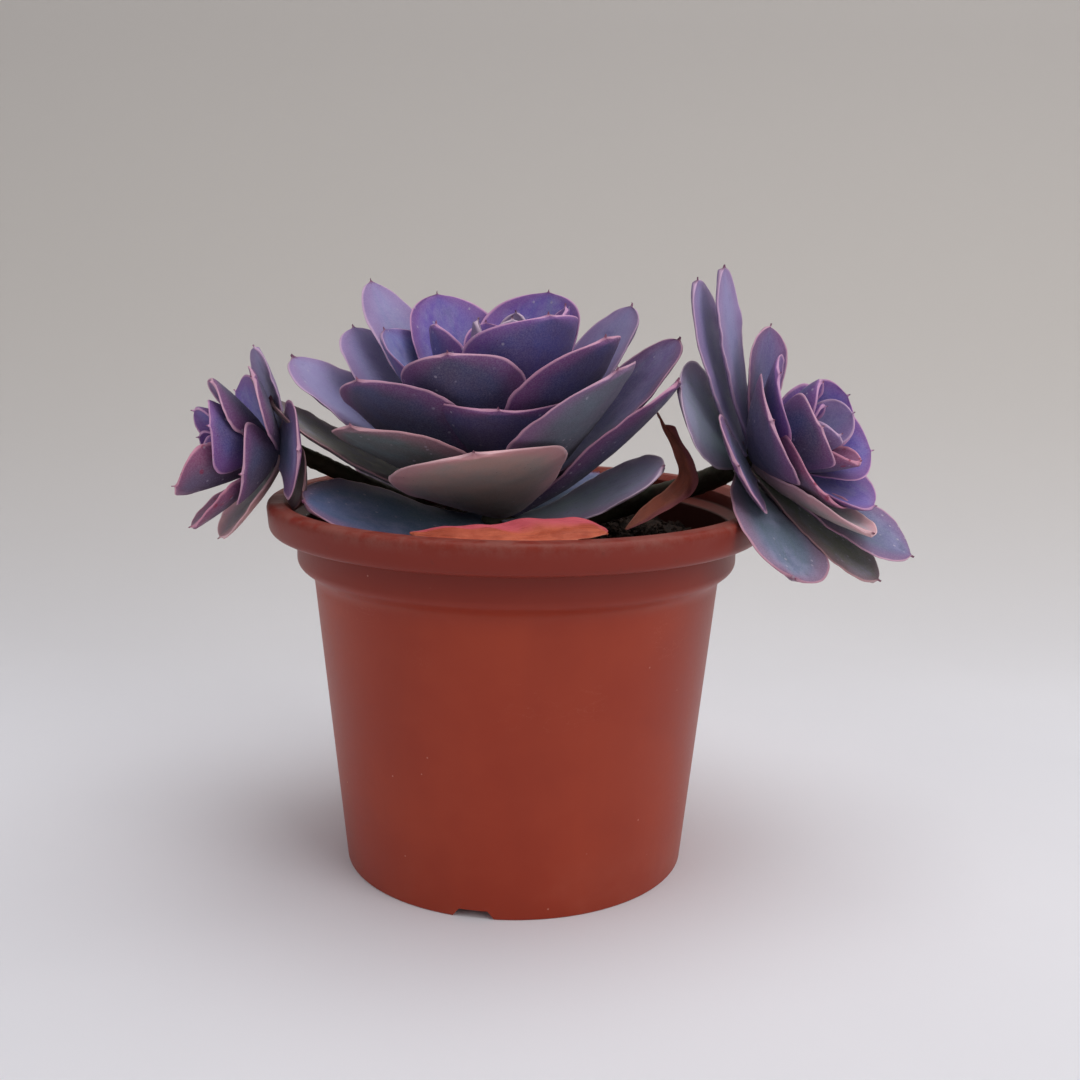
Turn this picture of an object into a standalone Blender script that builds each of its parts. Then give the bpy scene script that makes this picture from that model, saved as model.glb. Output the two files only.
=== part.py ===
"""A potted succulent: one large purple rosette and two side rosettes on stems, in a plastic nursery pot.

The frame: the origin is on the surface the pot stands on, under the middle of the plant's whole spread.
+Z is up, the plant's best side looks along -Y, and the side rosettes lean out to -X and +X. The right
rosette reaches further than the left one, so the pot's axis stands a little to the left of the origin.
Everything is laid out from the pot's axis and hangs on one empty there. Blender units are metres.
"""

import math

import bmesh
import bpy
from mathutils import Matrix, Vector

MM = 0.001
GAP = 0.3 * MM  # between pieces that touch

# ---------------------------------------------------------------- driving sizes
RIM_RADIUS = 70.0 * MM
POT_HEIGHT = 105.0 * MM
POT_AXIS_X = -7.3 * MM
PLANTED_RIM = 70.0 * MM  # the plant's places below suit this rim; with another, what leans on it moves along

RIM_BAND_HEIGHT = 8.5 * MM
RIM_ROUND = 2.2 * MM
RIDGE_DROP = 1.6 * MM  # the ridge inside the rim stands this far below its top
RIDGE_SLOPE_WIDTH = 2.2 * MM
RIDGE_STEP = 1.4 * MM  # the ridge's radius beyond the collar's outer face
SHOULDER_RADIUS = 61.8 * MM
SHOULDER_DROP = 8.0 * MM  # length of the collar below the rim band
SHOULDER_ROUND = 4.5 * MM
FOOT_RADIUS = 49.0 * MM
POT_WALL = 1.6 * MM
BASE_LIFT = 3.0 * MM  # the floor plate's underside stands this far off the surface
POT_SIDES = 48

NOTCHES = 3
NOTCH_WIDTH = 11.0 * MM
NOTCH_HEIGHT = 2.4 * MM
NOTCH_TOP_SHARE = 0.7  # width of the notch's top as a share of its mouth
NOTCH_TURN = -12.5  # degrees from the front to the first notch
DRAIN_HOLES = 6
DRAIN_RADIUS = 4.0 * MM
DRAIN_CIRCLE = 30.0 * MM
DRAIN_SIDES = 16

SOIL_MOUND = 3.0 * MM
PLANTED_DEPTH = 14.3 * MM  # the stems' routes suit a mix whose edge lies this far below the rim

PLANTED_THICKNESS = 2.6 * MM  # the leaves' levels and places below suit this thickness
LEAF_THICKNESS = 2.6 * MM
LEVEL = MM * LEAF_THICKNESS / PLANTED_THICKNESS  # thicker leaves sit further apart on their stem
THICKER_LIFT = 2 * (LEAF_THICKNESS - PLANTED_THICKNESS)  # a leaning rosette lies on its lowest leaves
THIN_LEAF_SHARE = 0.55  # thickness of the shortest leaves as a share of the longest's
FULL_LENGTH = 50.0 * MM  # leaves this long have the full thickness
LEAF_BASE_SHARE = 0.24  # width at the stem as a share of the full width
LEAF_WIDEST = 0.62  # share of the length where the leaf is widest
LEAF_MARGIN = 0.32  # thickness at the margin as a share of the middle's
LEAF_BASE_THIN = 0.7  # thickness at the stem as a share of the full one
LEAF_TIP_THIN = 0.45  # share of the thickness lost from the stem to the tip
LEAF_CLEARANCE = 0.7 * MM  # between the stem and the foot of a leaf
SMALLEST_SINE = 0.3  # of the slope, where a flat leaf's cross-section is curved least
TIP_POINT_LENGTH = 2.6 * MM
TIP_POINT_WIDTH = 1.7 * MM
COLUMNS, ROWS = 4, 8
ROW_CROWDING = 1.5  # above 1 the rows crowd towards the tip, where the outline turns fastest

# ---------------------------------------------------------------- the three rosettes
# Lengths are in mm, with heights counted from the pot's rim. origin, lean (degrees from upright), heading
# (degrees from the front, + to the right), radius of the stem among the leaves, its height from the lowest
# leaf to the bud, the bud's height and radius, where the stem leaves the potting mix (x, y), and its route on
# to the rosette.
ROSETTES = {
    "main": dict(
        origin=(-5, 0, -6), lean=6, heading=0, stem=5.0, height=21, bud=16, bud_radius=4.6,
        root=(-5, 0.3), route=[],
    ),
    "left": dict(
        origin=(-66, -5, 13), lean=86, heading=-64, stem=2.4, height=7, bud=12, bud_radius=3.4,
        root=(-18, 6), route=[(-18, 6, -9), (-31, 5, -3.5), (-45, 4, 3), (-58, -1, 10)],
    ),
    "right": dict(
        origin=(64, -4, 11), lean=62, heading=58, stem=3.2, height=11, bud=16, bud_radius=6.0,
        root=(14, 8), route=[(14, 8, -9.5), (28, 9, -5), (42, 6, 0), (54, 1, 5)],
    ),
}

# Each leaf: turn about its stem (degrees, 0 to the front, + to the right), level on the stem, slope of its
# midrib at the stem and at the tip (degrees above the plane square to the stem), length, width, cup, roll
# (degrees, + lifts the side of greater turn). Leaves below LOW_LEVEL are the old, greener ones.
LOW_LEVEL = 6
LEAVES = {
    "main": [
        (-62, -1, 9, 18, 51, 37, 1.0, -12),
        (178, 0.4, 4, 14, 54, 36, 1.0, 0),
        (146, -1.8, 0, 8, 50, 32, 1.0, 0),
        (70, 1, 22, 42, 47, 36, 1.0, 16),
        (-8, 2.8, 22, 42, 50, 45, 1.0, 13),
        (-131, 2.5, 5, 12, 50, 30, 1.0, 0),
        (-155, 4.6, 10, 22, 56, 34, 1.0, 0),
        (-84, 4.2, 13, 40, 58, 27, 1.0, 0),
        (-47, 8.8, 24, 34, 52, 39, 1.1, 10),
        (68, 4, 31, 52, 60, 34, 1.0, 0),
        (156, 6.5, 20, 38, 56, 36, 1.0, 0),
        (-104, 6.25, 22, 33, 64, 37, 1.0, 0),
        (-124, 8.8, 28, 42, 62, 34, 1.0, 0),
        (93, 7.4, 36, 54, 62, 34, 1.0, 8),
        (36, 9.7, 31, 55, 57, 38, 1.1, 12),
        (-57, 10.85, 27, 41, 52, 36, 1.2, 18),
        (-165, 11, 34, 46, 56, 34, 1.0, 0),
        (0, 12.6, 35, 48, 38, 32, 1.6, 0),
        (-132, 13.5, 42, 50, 68, 23, 1.0, 0),
        (112, 12, 46, 62, 58, 30, 1.0, 0),
        (178, 14.9, 46, 58, 50, 31, 1.0, 0),
        (-98, 16.1, 40, 52, 42, 31, 1.2, -10),
        (45, 15.5, 42, 62, 50, 36, 1.1, 5),
        (-26, 16.5, 42, 62, 46, 32, 1.2, 16),
        (-140, 18.7, 50, 72, 48, 34, 1.1, 0),
        (148, 20, 56, 74, 46, 36, 1.1, 0),
        (20, 19.8, 54, 76, 43, 36, 1.2, 0),
    ],
    "left": [
        (114, 0, 10, 18, 26, 18, 1.0, 0),
        (32, 1.1, 0, 10, 24, 23, 1.0, 0),
        (0, -1.0, -6, 4, 16, 15, 1.0, 0),
        (170, 1.4, 12, 24, 22, 19, 1.0, 0),
        (-56, 1, 30, 44, 27, 19, 1.0, 0),
        (80, 2.5, 18, 30, 24, 18, 1.0, 0),
        (-50, 4.3, 48, 64, 29, 19, 1.0, 0),
        (12, 3.0, 30, 46, 19, 21, 1.2, 0),
        (100, 5, 38, 54, 22, 20, 1.2, 0),
        (54, 7, 50, 68, 22, 21, 1.2, 0),
        (-22, 8, 68, 82, 27, 19, 1.1, 0),
    ],
    "right": [
        (-117, 5, 13, 27, 50, 23, 1.0, 0),
        (-96, 2.4, 9, 23, 48, 23, 1.0, 0),
        (-75, -0.2, 0, 10, 31, 31, 1.0, 0),
        (-28, 4.3, 16, 24, 29, 23, 1.0, 0),
        (19, -0.8, 27, 10, 50, 26, 1.0, 0),
        (64, 2, 24, 26, 44, 24, 1.0, 0),
        (74, 4.2, 29, 34, 47, 25, 1.0, 0),
        (42, 6.2, 36, 54, 37, 26, 1.0, 0),
        (150, 2.8, 34, 48, 29, 26, 1.0, 0),
        (-125, 7.6, 20, 34, 32, 23, 1.0, 0),
        (66, 8.2, 46, 60, 32, 26, 1.1, 0),
        (20, 10.4, 51, 66, 30, 27, 1.1, 0),
        (-40, 6.6, 26, 42, 29, 29, 1.1, 0),
        (-74, 9.2, 36, 52, 29, 27, 1.1, 0),
        (112, 11.4, 58, 70, 27, 26, 1.0, 0),
    ],
}

# Withered leaves: points along the middle, heights from the rim, each with half the width there, and the
# direction across, all in mm
DRIED_LEAVES = {
    "dried_leaf_front": dict(
        across=(0.05, 0.9, 0.4), heading=0, share=0,
        spine=[
            (22, -53, -0.5, 1.2), (18, -55, 1.0, 4.4), (8, -57, 0.8, 5.2), (-3, -58, 0.2, 4.8),
            (-14, -57.5, -0.2, 3.6), (-21, -56.5, -0.4, 2.0), (-26, -55.5, -0.4, 0.5),
        ],
    ),
    "dried_leaf_right": dict(
        across=(0.72, -0.35, -0.6), heading=58, share=1,
        spine=[
            (41, -9, 22, 2.5), (43, -12, 18, 4.6), (45.5, -16, 12, 4.2), (45.5, -19, 7.5, 3.2),
            (41.5, -22, 4, 2.8), (34, -26, -0.4, 2.0), (28.5, -29, -4, 0.5),
        ],
    ),
}
DRIED_THICKNESS = 1.1 * MM

# linear base colour, roughness
FINISHES = {
    "pot": ((0.30, 0.055, 0.028), 0.42),
    "soil": ((0.012, 0.009, 0.007), 0.95),
    "stem": ((0.16, 0.12, 0.06), 0.7),
    "leaf": ((0.13, 0.10, 0.24), 0.45),
    "low_leaf": ((0.12, 0.15, 0.22), 0.45),
    "dried_leaf": ((0.45, 0.10, 0.05), 0.6),
}


# ---------------------------------------------------------------- helpers
def clear_scene():
    for thing in list(bpy.data.objects):
        bpy.data.objects.remove(thing, do_unlink=True)


def collection(name):
    made = bpy.data.collections.new(name)
    bpy.context.scene.collection.children.link(made)
    return made


def finish_of(name, finish):
    colour, roughness = FINISHES[finish]
    material = bpy.data.materials.new(name)
    material.use_nodes = True
    shader = material.node_tree.nodes["Principled BSDF"]
    shader.inputs["Base Color"].default_value = (*colour, 1.0)
    shader.inputs["Roughness"].default_value = roughness
    shader.inputs["Metallic"].default_value = 0.0
    return material


def place(name, data, home, parent, finish=None):
    """An object on its parent; with no finish it is a cutter."""
    thing = bpy.data.objects.new(name, data)
    home.objects.link(thing)
    thing.parent = parent
    if finish:
        data.materials.append(finish_of(name, finish))
    else:
        thing.hide_render = True
        thing.display_type = "WIRE"
    return thing


def make_empty(name, home, parent=None):
    anchor = bpy.data.objects.new(name, None)
    home.objects.link(anchor)
    anchor.parent = parent
    return anchor


def mesh_from(name, bm):
    mesh = bpy.data.meshes.new(name)
    bm.to_mesh(mesh)
    bm.free()
    return mesh


def turned(name, profile, home, stand, finish):
    """A turned piece: the profile (radius, height) runs down its outer side and back up its inner side."""
    bm = bmesh.new()
    corners = [bm.verts.new((radius, 0, height)) for radius, height in profile]
    for first, second in zip(corners, corners[1:]):
        bm.edges.new((first, second))
    thing = place(name, mesh_from(name, bm), home, stand, finish)
    screw = thing.modifiers.new("turn", "SCREW")
    screw.axis = "Z"
    screw.steps = screw.render_steps = POT_SIDES
    screw.use_merge_vertices = True
    screw.merge_threshold = 1e-5
    return thing


def cut(thing, cutter):
    step = thing.modifiers.new(cutter.name, "BOOLEAN")
    step.operation = "DIFFERENCE"
    step.solver = "EXACT"
    step.object = cutter


def arc(centre, radius, start, end, steps):
    """Points along an arc in the profile plane, angles in degrees from +radius towards +height."""
    angles = (math.radians(start + (end - start) * k / steps) for k in range(steps + 1))
    return [(centre[0] + radius * math.cos(a), centre[1] + radius * math.sin(a)) for a in angles]


# ---------------------------------------------------------------- pot and potting mix
COLLAR_TOP = POT_HEIGHT - RIM_BAND_HEIGHT
COLLAR_FOOT = COLLAR_TOP - SHOULDER_DROP
BODY_TOP = COLLAR_FOOT - SHOULDER_ROUND
BODY_TOP_RADIUS = SHOULDER_RADIUS - SHOULDER_ROUND
RIDGE_RADIUS = SHOULDER_RADIUS + RIDGE_STEP
FLOOR_TOP = BASE_LIFT + POT_WALL
SOIL_EDGE = COLLAR_FOOT + POT_WALL + 2 * GAP  # the mix fills the pot up to the foot of the collar
SOIL_FLAT_RADIUS = 0.55 * FOOT_RADIUS
SOIL_FLAT_FALL = 0.3 * SOIL_MOUND


def body_radius(height):
    """Outer radius of the tapered body at a height."""
    return FOOT_RADIUS + (BODY_TOP_RADIUS - FOOT_RADIUS) * height / BODY_TOP


def make_pot(home, cutters, stand):
    top = POT_HEIGHT - RIM_ROUND
    lip = COLLAR_TOP + RIM_ROUND
    profile = [(RIDGE_RADIUS, POT_HEIGHT - RIDGE_DROP), (RIDGE_RADIUS + RIDGE_SLOPE_WIDTH, POT_HEIGHT)]
    profile += arc((RIM_RADIUS - RIM_ROUND, top), RIM_ROUND, 90, 0, 3)
    profile += arc((RIM_RADIUS - RIM_ROUND, lip), RIM_ROUND, 0, -90, 3)
    profile += [(SHOULDER_RADIUS, COLLAR_TOP)]
    profile += arc((SHOULDER_RADIUS - SHOULDER_ROUND, COLLAR_FOOT), SHOULDER_ROUND, 0, -90, 4)
    profile += [(FOOT_RADIUS, 0)]
    profile += [(FOOT_RADIUS - POT_WALL, 0), (body_radius(BASE_LIFT) - POT_WALL, BASE_LIFT), (0, BASE_LIFT)]
    profile += [(0, FLOOR_TOP), (body_radius(FLOOR_TOP) - POT_WALL, FLOOR_TOP)]
    profile += [(BODY_TOP_RADIUS - POT_WALL, BODY_TOP + POT_WALL)]
    profile += [(SHOULDER_RADIUS - POT_WALL, COLLAR_FOOT + POT_WALL)]
    profile += [(SHOULDER_RADIUS - POT_WALL, COLLAR_TOP + POT_WALL)]
    profile += [(RIDGE_RADIUS, COLLAR_TOP + 2 * POT_WALL)]
    profile += [profile[0]]
    pot = turned("pot", profile, home, stand, "pot")
    for index in range(NOTCHES):
        turn = math.radians(NOTCH_TURN + 360 * index / NOTCHES)
        cut(pot, notch_cutter(f"notch_{index + 1}", turn, cutters, stand))
    for index in range(DRAIN_HOLES):
        turn = 2 * math.pi * (index + 0.5) / DRAIN_HOLES
        cut(pot, drain_cutter(f"drain_{index + 1}", turn, cutters, stand))


def notch_cutter(name, turn, cutters, stand):
    """A wedge with sloped sides, pushed through the foot ring from outside."""
    bm = bmesh.new()
    bmesh.ops.create_cube(bm, size=1)
    for corner in bm.verts:
        wide = 1.0 if corner.co.z < 0 else NOTCH_TOP_SHARE
        corner.co.x *= NOTCH_WIDTH * wide
        corner.co.y *= 8 * POT_WALL
        corner.co.z *= 2 * NOTCH_HEIGHT
    cutter = place(name, mesh_from(name, bm), cutters, stand)
    cutter.location = (FOOT_RADIUS * math.sin(turn), -FOOT_RADIUS * math.cos(turn), 0)
    cutter.rotation_euler.z = turn
    return cutter


def drain_cutter(name, turn, cutters, stand):
    bm = bmesh.new()
    bmesh.ops.create_cone(
        bm, cap_ends=True, segments=DRAIN_SIDES, depth=6 * POT_WALL,
        radius1=DRAIN_RADIUS, radius2=DRAIN_RADIUS,
    )
    cutter = place(name, mesh_from(name, bm), cutters, stand)
    middle = BASE_LIFT + POT_WALL / 2
    cutter.location = (DRAIN_CIRCLE * math.sin(turn), -DRAIN_CIRCLE * math.cos(turn), middle)
    return cutter


def soil_height(radius):
    """Height of the potting mix's surface: a low mound, steeper towards the wall."""
    top, flat = SOIL_EDGE + SOIL_MOUND, SOIL_EDGE + SOIL_MOUND - SOIL_FLAT_FALL
    if radius < SOIL_FLAT_RADIUS:
        return top - SOIL_FLAT_FALL * radius / SOIL_FLAT_RADIUS
    wall = SHOULDER_RADIUS - POT_WALL - GAP
    return flat - (flat - SOIL_EDGE) * (radius - SOIL_FLAT_RADIUS) / (wall - SOIL_FLAT_RADIUS)


def make_soil(home, stand):
    floor = FLOOR_TOP + GAP
    profile = [(0, soil_height(0)), (SOIL_FLAT_RADIUS, soil_height(SOIL_FLAT_RADIUS))]
    profile += [(SHOULDER_RADIUS - POT_WALL - GAP, SOIL_EDGE)]
    profile += [(SHOULDER_RADIUS - POT_WALL - GAP, COLLAR_FOOT + POT_WALL + GAP)]
    profile += [(BODY_TOP_RADIUS - POT_WALL - GAP, BODY_TOP + POT_WALL)]
    profile += [(body_radius(floor) - POT_WALL - GAP, floor), (0, floor)]
    turned("potting_mix", profile, home, stand, "soil")


# ---------------------------------------------------------------- rosettes
def from_rim(spot, heading=0, share=0):
    """A point in mm, its height counted from the rim, as a place; a share of it moves out with the rim."""
    turn, out = math.radians(heading), share * (RIM_RADIUS - PLANTED_RIM)
    return Vector(spot) * MM + Vector((out * math.sin(turn), -out * math.cos(turn), POT_HEIGHT))


def origin_of(rosette):
    """Where the rosette's lowest leaves leave the stem; a leaning rosette lies on the rim."""
    if not rosette["route"]:
        return from_rim(rosette["origin"])
    return from_rim(rosette["origin"], rosette["heading"], 1) + Vector((0, 0, THICKER_LIFT))


def rosette_turn(rosette):
    lean, heading = math.radians(rosette["lean"]), math.radians(rosette["heading"])
    aside = Matrix.Rotation(heading, 4, "Z")
    return aside @ Matrix.Rotation(lean, 4, "X") @ aside.inverted()


def make_anchor(name, rosette, home, stand):
    anchor = make_empty(name, home, stand)
    anchor.location = origin_of(rosette)
    anchor.rotation_euler = rosette_turn(rosette).to_euler()
    return anchor


def half_width(along, length, width):
    """The spoon outline: half the leaf's width at a share of its length, with a small point at the tip."""
    shoulder = 1 - 0.55 * TIP_POINT_LENGTH / length
    point = TIP_POINT_WIDTH / 2 * min(1.0, (1 - along) * length / TIP_POINT_LENGTH)
    if along < LEAF_WIDEST:
        swell = 0.5 - 0.5 * math.cos(math.pi * along / LEAF_WIDEST)
        return width / 2 * (LEAF_BASE_SHARE + (1 - LEAF_BASE_SHARE) * swell)
    reach = min(1.0, (along - LEAF_WIDEST) / (shoulder - LEAF_WIDEST))
    return max(width / 2 * (1 - reach**2.4) ** 0.62, point)


def leaf_sheet(foot, first_slope, last_slope, length, width, cup, roll):
    """The leaf's upper face as a grid of vertices, its foot beside the stem, reaching out along -Y."""
    rise, curl = math.radians((first_slope + last_slope) / 2), math.radians(last_slope - first_slope)
    roll = math.radians(roll)
    bend_radius = length / (2 * math.sin(curl / 2))
    bm = bmesh.new()
    bmesh.ops.create_grid(bm, x_segments=COLUMNS, y_segments=ROWS, size=1)
    weights = bm.verts.layers.deform.verify()
    for corner in bm.verts:
        across = corner.co.x
        along = 1 - ((1 + corner.co.y) / 2) ** ROW_CROWDING
        angle = curl * (along - 0.5)
        chord = length / 2 + bend_radius * math.sin(angle)
        sag = bend_radius * (math.cos(curl / 2) - math.cos(angle))
        slope = rise + angle
        out = foot + chord * math.cos(rise) - sag * math.sin(rise)
        up = chord * math.sin(rise) + sag * math.cos(rise)
        section = out / max(math.sin(slope), SMALLEST_SINE) / cup
        half = half_width(along, length, width)
        swing = across * half / section
        side = section * math.sin(swing)
        lift = section * (1 - math.cos(swing))
        twist = roll * min(1.0, 2 * along)
        level, tilted = math.cos(twist), math.sin(twist)
        side, lift = side * level - lift * tilted, side * tilted + lift * level
        corner.co = (side, -(out - lift * math.sin(slope)), up + lift * math.cos(slope))
        belly = (1 - across * across) ** 0.7
        thick = min(1.0, LEAF_BASE_THIN + along) * (1 - LEAF_TIP_THIN * along)
        corner[weights][0] = (LEAF_MARGIN + (1 - LEAF_MARGIN) * belly) * thick
    bmesh.ops.remove_doubles(bm, verts=bm.verts, dist=1e-6)
    return bm


def make_leaf(name, anchor, rosette, leaf, home, finish):
    turn, level, first_slope, last_slope, length, width, cup, roll = leaf
    foot = rosette["stem"] * MM + LEAF_CLEARANCE
    mesh = mesh_from(name, leaf_sheet(foot, first_slope, last_slope, length * MM, width * MM, cup, roll))
    thing = place(name, mesh, home, anchor, finish)
    thing.vertex_groups.new(name="thickness")
    thing.location = (0, 0, level * LEVEL)
    thing.rotation_euler.z = math.radians(turn)
    shell = thing.modifiers.new("flesh", "SOLIDIFY")
    fullness = min(1.0, length * MM / FULL_LENGTH)
    shell.thickness = LEAF_THICKNESS * (THIN_LEAF_SHARE + (1 - THIN_LEAF_SHARE) * fullness)
    shell.offset = -1
    shell.vertex_group = "thickness"
    mesh.shade_smooth()


def make_stem(name, rosette, home, stand):
    """A stem from the potting mix through its rosette, swollen into the closed bud at its end."""
    anchor = Matrix.Translation(origin_of(rosette)) @ rosette_turn(rosette)
    x, y = (side * MM for side in rosette["root"])
    spots = [Vector((x, y, soil_height(math.hypot(x, y)) + 2 * GAP))]
    settle = SOIL_EDGE - (POT_HEIGHT - PLANTED_DEPTH)
    for step, spot in enumerate(rosette["route"]):
        share = step / len(rosette["route"])
        raised = Vector((0, 0, (1 - share) * settle + share * THICKER_LIFT))
        spots.append(from_rim(spot, rosette["heading"], share) + raised)
    top, bud, swell = rosette["height"], rosette["bud"], rosette["bud_radius"] / rosette["stem"]
    stations = [(-3, 1.0), (0, 1.0), (0.6 * top, 1.0), (top, 0.8), (top + 0.35 * bud, swell)]
    stations += [(top + 0.65 * bud, 0.8 * swell), (top + 0.88 * bud, 0.4 * swell), (top + bud, 0.08 * swell)]
    points = [(spot, 1.0) for spot in spots]
    points += [(anchor @ Vector((0, 0, level * LEVEL)), share) for level, share in stations]
    data = bpy.data.curves.new(name, "CURVE")
    data.dimensions = "3D"
    data.bevel_depth = rosette["stem"] * MM
    data.bevel_resolution = 2
    data.use_fill_caps = True
    spline = data.splines.new("POLY")
    spline.points.add(len(points) - 1)
    for point, (spot, share) in zip(spline.points, points):
        point.co = (*spot, 1)
        point.radius = share
    place(name, data, home, stand, "stem")


def make_dried_leaf(name, spine, across, heading, share, home, stand):
    """A withered leaf: a thin sheet along its spine, given its thickness and rounded off."""
    bm = bmesh.new()
    bmesh.ops.create_grid(bm, x_segments=2, y_segments=len(spine) - 1, size=1)
    direction = Vector(across).normalized()
    for corner in bm.verts:
        x, y, z, half = spine[round((1 - corner.co.y) / 2 * (len(spine) - 1))]
        corner.co = from_rim(Vector((x, y, z)) + direction * half * corner.co.x, heading, share)
    thing = place(name, mesh_from(name, bm), home, stand, "dried_leaf")
    shell = thing.modifiers.new("flesh", "SOLIDIFY")
    shell.thickness = DRIED_THICKNESS
    shell.offset = 0
    round_off = thing.modifiers.new("round_off", "SUBSURF")
    round_off.levels = round_off.render_levels = 1
    thing.data.shade_smooth()


def main():
    clear_scene()
    home = collection("potted_succulent")
    cutters = collection("cutters")
    stand = make_empty("stand", home)
    stand.location.x = POT_AXIS_X
    make_pot(home, cutters, stand)
    make_soil(home, stand)
    for side, rosette in ROSETTES.items():
        anchor = make_anchor(f"{side}_rosette", rosette, home, stand)
        make_stem(f"{side}_stem", rosette, home, stand)
        for index, leaf in enumerate(LEAVES[side], start=1):
            finish = "low_leaf" if leaf[1] < LOW_LEVEL else "leaf"
            make_leaf(f"{side}_leaf_{index:02d}", anchor, rosette, leaf, home, finish)
    for name, leaf in DRIED_LEAVES.items():
        make_dried_leaf(name, home=home, stand=stand, **leaf)


main()
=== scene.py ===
# %% [markdown]
# # A potted succulent
# One large purple rosette and two side rosettes on their own stems grow in a plastic nursery pot. The
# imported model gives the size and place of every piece. Here each plain solid is replaced by a finer piece
# that stands where the solid stands, and each surface gets its colour, bloom, wear and grain from nodes.

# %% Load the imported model
import math

import bmesh
import bpy
from mathutils import Matrix, Vector, noise


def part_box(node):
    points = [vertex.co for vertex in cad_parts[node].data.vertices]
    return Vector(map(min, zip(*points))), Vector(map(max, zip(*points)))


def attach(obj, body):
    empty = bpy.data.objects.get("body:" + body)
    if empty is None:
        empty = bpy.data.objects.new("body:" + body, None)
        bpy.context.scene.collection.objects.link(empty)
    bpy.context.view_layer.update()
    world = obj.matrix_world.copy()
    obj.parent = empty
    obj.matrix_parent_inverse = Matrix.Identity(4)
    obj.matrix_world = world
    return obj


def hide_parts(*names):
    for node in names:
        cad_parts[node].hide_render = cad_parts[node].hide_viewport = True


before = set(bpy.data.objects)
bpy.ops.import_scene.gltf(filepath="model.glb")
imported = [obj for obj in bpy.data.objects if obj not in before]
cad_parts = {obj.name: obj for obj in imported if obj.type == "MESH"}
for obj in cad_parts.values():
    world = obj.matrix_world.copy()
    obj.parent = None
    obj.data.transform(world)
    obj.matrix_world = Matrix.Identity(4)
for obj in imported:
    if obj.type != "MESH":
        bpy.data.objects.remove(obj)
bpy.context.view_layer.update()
print("packed model:", len(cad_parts), "nodes")

MM = 0.001
pot_low, pot_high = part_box("pot")
RIM_RADIUS = (pot_high.x - pot_low.x) / 2
POT_HEIGHT = pot_high.z
POT_AXIS = Vector(((pot_low.x + pot_high.x) / 2, (pot_low.y + pot_high.y) / 2, 0))
print(f"rim radius {RIM_RADIUS:.4f}, pot height {POT_HEIGHT:.4f}, axis at x {POT_AXIS.x:.4f}")

# %% [markdown]
# ## The camera
# The viewpoint is a little above the rim and looks slightly down. It could be aimed with a constraint,
# but a camera that is placed once by its pitch, yaw and roll is easier to read and never moves by
# surprise.

# %% Camera
CAMERA_PLACE = POT_AXIS + Vector((0, -367.36, 164.78)) * MM
CAMERA_PITCH, CAMERA_YAW, CAMERA_ROLL = 0.19492, 0.01778, 0.01359  # radians, down, to the right, clockwise
CAMERA_LENS = 43.71  # mm on a sensor 36 mm wide


def make_camera():
    """The camera, placed by its pitch, yaw and roll."""
    ahead = Vector((
        math.sin(CAMERA_YAW) * math.cos(CAMERA_PITCH),
        math.cos(CAMERA_YAW) * math.cos(CAMERA_PITCH),
        -math.sin(CAMERA_PITCH),
    ))
    level = Vector((math.cos(CAMERA_YAW), -math.sin(CAMERA_YAW), 0))
    upright = level.cross(ahead)
    right = level * math.cos(CAMERA_ROLL) + upright * math.sin(CAMERA_ROLL)
    up = upright * math.cos(CAMERA_ROLL) - level * math.sin(CAMERA_ROLL)
    turn = Matrix((right, up, -ahead)).transposed().to_4x4()
    data = bpy.data.cameras.new("camera")
    data.sensor_width, data.lens = 36, CAMERA_LENS
    camera = bpy.data.objects.new("camera", data)
    camera.matrix_world = Matrix.Translation(CAMERA_PLACE) @ turn
    bpy.context.scene.collection.objects.link(camera)
    bpy.context.scene.camera = camera
    return camera


camera = make_camera()
print("camera at", tuple(round(v, 4) for v in camera.matrix_world.translation))

# %% [markdown]
# ## Arithmetic on sockets
# Both a material and a Geometry Nodes tree do their sums with Math nodes. Wiring each one by hand hides
# the formula, so a small class wraps a socket and overloads the operators: `1 - edge * 0.5` then adds the
# nodes. Any other node comes from one method that takes its type, its settings and what goes into its
# sockets.


# %% Wires and trees
class Wire:
    """An output socket in a tree, with arithmetic."""

    def __init__(self, tree, socket):
        self.tree, self.socket = tree, socket

    def math(self, operation, *others):
        """One Math node on this value and the others."""
        node = self.tree.nodes.new("ShaderNodeMath")
        node.operation = operation
        for slot, value in zip(node.inputs, (self, *others)):
            join(self.tree, value, slot)
        return Wire(self.tree, node.outputs[0])

    def flipped(self, operation, other):
        """The same with this value second, for the reflected operators."""
        node = self.tree.nodes.new("ShaderNodeMath")
        node.operation = operation
        join(self.tree, other, node.inputs[0])
        join(self.tree, self, node.inputs[1])
        return Wire(self.tree, node.outputs[0])

    def __add__(self, other):
        return self.math("ADD", other)

    def __radd__(self, other):
        return self.flipped("ADD", other)

    def __sub__(self, other):
        return self.math("SUBTRACT", other)

    def __rsub__(self, other):
        return self.flipped("SUBTRACT", other)

    def __mul__(self, other):
        return self.math("MULTIPLY", other)

    def __rmul__(self, other):
        return self.flipped("MULTIPLY", other)

    def __truediv__(self, other):
        return self.math("DIVIDE", other)

    def __rtruediv__(self, other):
        return self.flipped("DIVIDE", other)

    def __pow__(self, other):
        return self.math("POWER", other)

    def ramp(self, low, high, to_low=0.0, to_high=1.0):
        """Smoothly from to_low at low to to_high at high, flat outside."""
        node = self.tree.nodes.new("ShaderNodeMapRange")
        node.interpolation_type = "SMOOTHSTEP"
        for slot, value in zip(node.inputs, (self, low, high, to_low, to_high)):
            join(self.tree, value, slot)
        return Wire(self.tree, node.outputs[0])


def join(tree, value, slot):
    """Puts a value or a wire into a socket."""
    if isinstance(value, Wire):
        tree.links.new(value.socket, slot)
    elif value is not None:
        slot.default_value = value


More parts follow.
